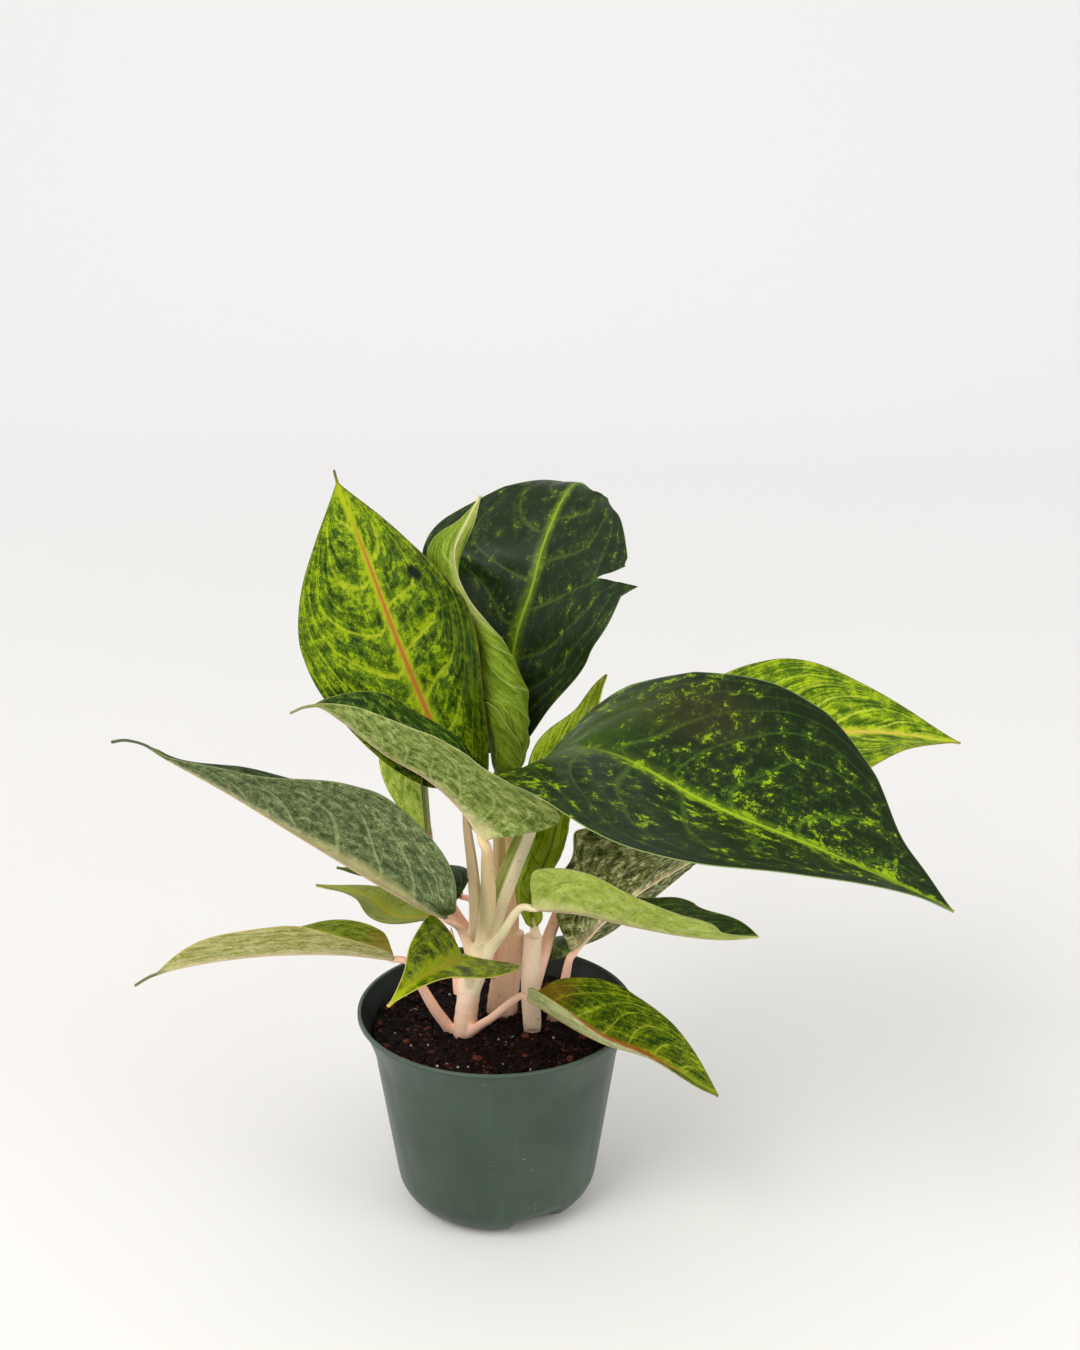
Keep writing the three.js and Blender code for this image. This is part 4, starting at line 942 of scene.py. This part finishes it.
def stalk_material(name, blush):
    shader = Shader(name)
    place = shader.place()
    height = shader.split(place)[2]
    streak = shader.noise(shader.attribute("run"), (0.05, 1.1, 1), 4, 0.6)
    cloud = shader.noise(place, 60, 4, 0.6)
    fleck = shader.noise(place, 420, 2, 0.5)
    # darker and browner low on the stalks, from below the pot's rim down to the mix
    low_darkening = height / MM + cloud * 10
    colour = shader.layers(
        shader.attribute("tint", "Color"), (streak.ramp(0.42, 0.7, 0, 0.3), blush),
        (cloud.ramp(0.55, 0.75, 0, 0.1), (214, 178, 140)), (fleck.ramp(0.66, 0.76, 0, 0.5), (150, 104, 76)),
        (low_darkening.ramp(105, 114, 0.65, 0), (120, 78, 60)))
    shader.set("Subsurface Weight", 0.3)
    shader.set("Subsurface Radius", (0.004, 0.0024, 0.0014))
    shader.set("Subsurface Scale", 0.5)
    return shader.finish(colour, streak.ramp(0.3, 0.7, 0.36, 0.5), 0.3, streak * 0.7 + fleck * 0.3, 0.4, 0.3)


# ---- pot

RIM_RADIUS = 76
POT_HEIGHT = 114
LIP_HEIGHT = 2.2
LIP_WIDTH = 1.9
LIP_ROUND = 0.5
LIP_STEP = 0.3
LIP_CORNERS = 4
KINK_HEIGHT = 87  # the wall is straight up to here and flares above
KINK_RADIUS = 66.3
WALL_SLOPE = 0.15
WALL = 1.3
BASE = 1.4
FOOT_RADIUS = 20
FLARE_POWER = 1.4
WALL_HEIGHTS = (24, 30, 38, 46, 54, 62, 70, 78, 84, KINK_HEIGHT, 88, 90, 93, 96, 99, 102, 105.5, 108.5,
                POT_HEIGHT - LIP_HEIGHT)
ARCH_COUNT = 3
ARCH_FIRST = 27
ARCH_HALF_ANGLE = 20
ARCH_CROWN = 0.55  # share of its half angle over which an arch has its full height
ARCH_RISE = 4
ARCH_INNER_RADIUS = 24
ARCH_RAMP = 10
ARCH_FADE = (4, 22)
BASE_RADII = (0, 8, 16, ARCH_INNER_RADIUS, 27, 30, 33, 36)
DRAIN_RADIUS = 4
DRAIN_DEPTH = 14
DRAIN_CENTRE = (47, 9)
POT_SIDES = 216
SHARP_ANGLE = 38


def wall_radius(height):
    if height < KINK_HEIGHT:
        return KINK_RADIUS - WALL_SLOPE * (KINK_HEIGHT - height)
    share = (height - KINK_HEIGHT) / (POT_HEIGHT - KINK_HEIGHT)
    return KINK_RADIUS + (RIM_RADIUS - KINK_RADIUS) * share ** FLARE_POWER


FOOT_CENTRE = wall_radius(FOOT_RADIUS) - FOOT_RADIUS * math.hypot(1, WALL_SLOPE)


def foot_arc(radius, inner, steps=14):
    """Profile of the rounded foot, from the inner radius outwards."""
    end = math.pi / 2 - math.atan(WALL_SLOPE)
    angles = [end * i / steps for i in range(steps + 1)]
    arc = [(FOOT_CENTRE + radius * math.sin(a), FOOT_RADIUS - radius * math.cos(a)) for a in angles]
    return [point for point in arc if point[0] > inner]


def lift_arches(corners):
    x, y, z = corners.T
    angle = np.degrees(np.arctan2(x, -y))
    lift = np.zeros(len(corners))
    for k in range(ARCH_COUNT):
        away = np.abs((angle - ARCH_FIRST - 360 / ARCH_COUNT * k + 540) % 360 - 180)
        lift = np.maximum(lift, 1 - smooth(away, ARCH_HALF_ANGLE * ARCH_CROWN, ARCH_HALF_ANGLE))
    outwards = smooth(np.hypot(x, y), ARCH_INNER_RADIUS, ARCH_INNER_RADIUS + ARCH_RAMP)
    corners[:, 2] = z + ARCH_RISE * lift * outwards * (1 - smooth(z, *ARCH_FADE))


def turned(profile, sides):
    """A closed skin from a profile of (radius, height) that starts and ends on the axis."""
    corners, rings = [], []
    for radius, height in profile:
        count = sides if radius > 0 else 1
        rings.append(range(len(corners), len(corners) + count))
        for k in range(count):
            angle = 2 * math.pi * k / sides
            corners.append((radius * math.cos(angle), radius * math.sin(angle), height))
    faces = []
    for low, high in zip(rings, rings[1:]):
        for k in range(sides):
            m = (k + 1) % sides
            if len(low) == 1:
                faces.append((high[m], high[k], low[0]))
            elif len(high) == 1:
                faces.append((low[k], low[m], high[0]))
            else:
                faces.append((low[k], low[m], high[m], high[k]))
    return np.array(corners, float), faces


def pot_profile():
    lip = [(RIM_RADIUS, POT_HEIGHT - LIP_HEIGHT + LIP_STEP)]
    for centre, start in ((RIM_RADIUS - LIP_ROUND, 0), (RIM_RADIUS - LIP_WIDTH + LIP_ROUND, 90)):
        for step in range(LIP_CORNERS + 1):
            angle = math.radians(start + 90 * step / LIP_CORNERS)
            lip.append((centre + LIP_ROUND * math.cos(angle), POT_HEIGHT - LIP_ROUND * (1 - math.sin(angle))))
    return ([(radius, 0) for radius in BASE_RADII] + foot_arc(FOOT_RADIUS, BASE_RADII[-1])
            + [(wall_radius(h), h) for h in WALL_HEIGHTS] + lip
            + [(wall_radius(h) - WALL, h) for h in reversed(WALL_HEIGHTS)]
            + foot_arc(FOOT_RADIUS - BASE, BASE_RADII[-1])[::-1]
            + [(radius, BASE) for radius in reversed(BASE_RADII)])


def make_pot():
    corners, faces = turned(pot_profile(), POT_SIDES)
    lift_arches(corners)
    pot = make_mesh("pot_shell", corners, faces, pot_material())
    for k in range(ARCH_COUNT):
        bpy.ops.mesh.primitive_cylinder_add(radius=DRAIN_RADIUS * MM, depth=DRAIN_DEPTH * MM, vertices=40)
        cutter = bpy.context.object
        turn = math.radians(ARCH_FIRST + 360 / ARCH_COUNT * k)
        outward = Vector((math.sin(turn), -math.cos(turn), 0))
        radius, height = DRAIN_CENTRE
        cutter.location = (outward * radius + Vector((0, 0, height))) * MM
        cutter.rotation_euler = (outward - Vector((0, 0, 1))).to_track_quat("Z", "Y").to_euler()
        cut = pot.modifiers.new("drain", "BOOLEAN")
        cut.operation = "DIFFERENCE"
        cut.object = cutter
        cut.solver = "EXACT"
        mesh = apply_modifiers(pot)
        bpy.data.objects.remove(cutter)
    # the inner wall, which the material paints nearly black as painted shade
    x, y, z = corner_places(mesh).T
    walls = np.array([wall_radius(height) for height in z])
    inside = (np.hypot(x, y) < walls - WALL / 2) & (z > FOOT_RADIUS) & (z < POT_HEIGHT - 1)
    set_attribute(mesh, "side", np.repeat(inside, 3))
    mesh.shade_smooth()
    mesh.set_sharp_from_angle(angle=math.radians(SHARP_ANGLE))
    finish_piece(pot, "pot_plastic", "pot")


def pot_material():
    shader = Shader("moulded_green")
    place = shader.place()
    x, y, z = shader.split(place)
    around = shader.math("ARCTAN2", x, y)
    cloud = shader.noise(place, 22, 4, 0.6)
    # lighter vertical streaks, which are painted highlights
    streaks = shader.noise(shader.join(around * 6, z * 14, 0), 1, 5, 0.65)
    scuff = shader.noise(place, (240.0, 240.0, 576.0), 3, 0.7)
    marks = scuff.ramp(0.64, 0.72) * shader.noise(place, 16, 3, 0.6).ramp(0.5, 0.62)
    # painted highlight: a lighter band along the top of the lip
    lip_highlight = z.ramp(0.1125, 0.1138, 0, 0.4)
    # painted shade: the inner wall is painted nearly black
    inside = shader.split(shader.attribute("side"))[0]
    colour = shader.layers(
        (44, 61, 48), (cloud.ramp(0.3, 0.7), (54, 72, 57)), (streaks.ramp(0.55, 0.8, 0, 0.35), (86, 104, 88)),
        (marks * 0.5, (170, 176, 168)), (lip_highlight, (92, 112, 96)), (inside * 0.9, (14, 22, 20)))
    rough = streaks.ramp(0.3, 0.8, 0.34, 0.5) + marks * 0.2
    height = shader.noise(place, 900, 2, 0.5) * 0.4 + shader.math("SINE", z * 900) * 0.06 - marks * 0.5
    return shader.finish(colour, rough, 0.42, height, 0.25, 0.15)


# ---- potting mix

SOIL_HEIGHT = 100.5
SOIL_MOUND = 1.5
MOUND_RADIUS = 68
SOIL_GAP = 0.3
SOIL_SIDES = 220
SOIL_RINGS = 70
SOIL_EDGE = wall_radius(SOIL_HEIGHT) - WALL - SOIL_GAP - 0.5
# unevenness of the surface: height, scale and seed of its noise
COARSE, CLODS, CRUMBS = (1.3, 0.11, 3), (1.5, 0.35, 5), (0.8, 0.9, 8)
# loose chips: how many, their least and greatest radius, and how flat they are
CHIPS = ((1500, 0.5, 1.1, 0.3), (420, 1.0, 2.1, 0.45), (70, 1.8, 3.2, 0.6))
CHIP_TILT = 0.6
CHIP_SEAT = 0.25  # share of its size that a chip stands up from the surface
PALE_SHARE = 0.03  # of the chips below the size of
PALE_SIZE = 1.4


def soil_profile():
    top = [(SOIL_EDGE * ring / SOIL_RINGS, SOIL_HEIGHT) for ring in range(SOIL_RINGS + 1)]
    side = [(wall_radius(h) - WALL - SOIL_GAP, h) for h in (97, KINK_HEIGHT, 60)]
    floor = [(radius, BASE + SOIL_GAP) for radius in (30, ARCH_INNER_RADIUS, 0)]
    return top + side + foot_arc(FOOT_RADIUS - BASE - SOIL_GAP, 30)[::-1] + floor


def surface(points, *layers):
    """How far the surface of the mix stands above its edge at these points."""
    radius = np.hypot(points[:, 0], points[:, 1])
    mound = SOIL_MOUND * np.cos(np.pi / 2 * np.minimum(1, radius / MOUND_RADIUS))
    return mound + sum(height * noise_at(points, scale, seed) for height, scale, seed in layers)


def make_soil(rng):
    corners, faces = turned(soil_profile()[::-1], SOIL_SIDES)
    lift_arches(corners)
    on_top = corners[:, 2] > SOIL_HEIGHT - 1
    tone = np.where(on_top, 0.5 + 0.5 * noise_at(corners, *CLODS[1:]), 0.4)
    corners[:, 2] += np.where(on_top, surface(corners, COARSE, CLODS, CRUMBS), 0)
    # crumb: how much a chip is bark, 2 for a chip and the surface's tone elsewhere, pale specks
    parts, shades = [corners], [np.stack([tone] * 3, -1)]
    bpy.ops.mesh.primitive_ico_sphere_add(subdivisions=1, radius=1)
    ball = bpy.context.object
    ball_corners = np.array([vertex.co for vertex in ball.data.vertices])
    ball_faces = np.array([polygon.vertices for polygon in ball.data.polygons])
    bpy.data.objects.remove(ball)
    count = len(corners)
    for number, small, large, flatness in CHIPS:
        for _ in range(number):
            size = rng.uniform(small, large)
            away = (SOIL_EDGE - size) * math.sqrt(rng.uniform(0, 1))
            turn = rng.uniform(0, 2 * math.pi)
            spot = np.array([away * math.cos(turn), away * math.sin(turn), SOIL_HEIGHT])
            stretch = [rng.uniform(0.7, 1.5), rng.uniform(0.5, 1.0), rng.uniform(0.3, 1 - flatness / 2)]
            lumps = 1 + rng.uniform(-0.25, 0.25, (len(ball_corners), 1))
            tilts = rng.uniform(-CHIP_TILT, CHIP_TILT), rng.uniform(-CHIP_TILT, CHIP_TILT)
            turned_by = np.array(Euler((*tilts, rng.uniform(0, 2 * math.pi))).to_matrix())
            spot[2] += surface(spot[None], COARSE, CLODS)[0] + size * CHIP_SEAT
            parts.append(ball_corners * lumps * stretch * size @ turned_by.T + spot)
            faces += list(ball_faces + count)
            bark = rng.uniform(0, 1)
            pale = rng.uniform(0, 1) < PALE_SHARE and size < PALE_SIZE
            shades.append(np.tile([bark, 2.0, float(pale)], (len(ball_corners), 1)))
            count += len(ball_corners)
    piece = make_mesh("mix_surface", np.concatenate(parts), faces, soil_material(),
                      {"crumb": np.concatenate(shades)})
    finish_piece(piece, "potting_mix", "soil")


def soil_material():
    shader = Shader("peat_and_bark")
    place = shader.place()
    bark, loose, pale = shader.split(shader.attribute("crumb"))
    is_chip = loose.ramp(1.4, 1.6)
    fine = shader.noise(place, 700, 4, 0.65)
    cloud = shader.noise(place, 90, 4, 0.6)
    reddish = shader.mix(fine.ramp(0.3, 0.7), (44, 14, 9), (132, 70, 50))
    colour = shader.layers(
        (5, 2, 2), (fine.ramp(0.35, 0.7), (30, 13, 10)), (is_chip * bark.ramp(0.62, 0.96, 0, 0.9), reddish),
        (cloud.ramp(0.55, 0.75, 0, 0.4), (62, 30, 22)), (is_chip * pale, (190, 176, 156)))
    return shader.finish(colour, fine.ramp(0.3, 0.7, 0.45, 0.9), 0.12, fine, 0.8, 0.8)


# ---- assembly

SOIL_SEED = 11

make_camera()
make_floor()
make_world()
for light_name, light in LIGHTS.items():
    make_light(light_name, *light)

make_pot()
make_soil(np.random.default_rng(SOIL_SEED))
skins = {"stalk_pale": stalk_material("stalk_cream", (236, 196, 160)),
         "stalk_pink": stalk_material("stalk_blush", (220, 158, 134))}
for shoot_name, shoot in SHOOTS.items():
    make_shoot(shoot_name, shoot, skins[shoot["slot"]])
for order, (leaf_name, leaf) in enumerate(LEAVES.items()):
    make_blade(leaf_name, leaf, LOOKS[leaf_name], order + 1)
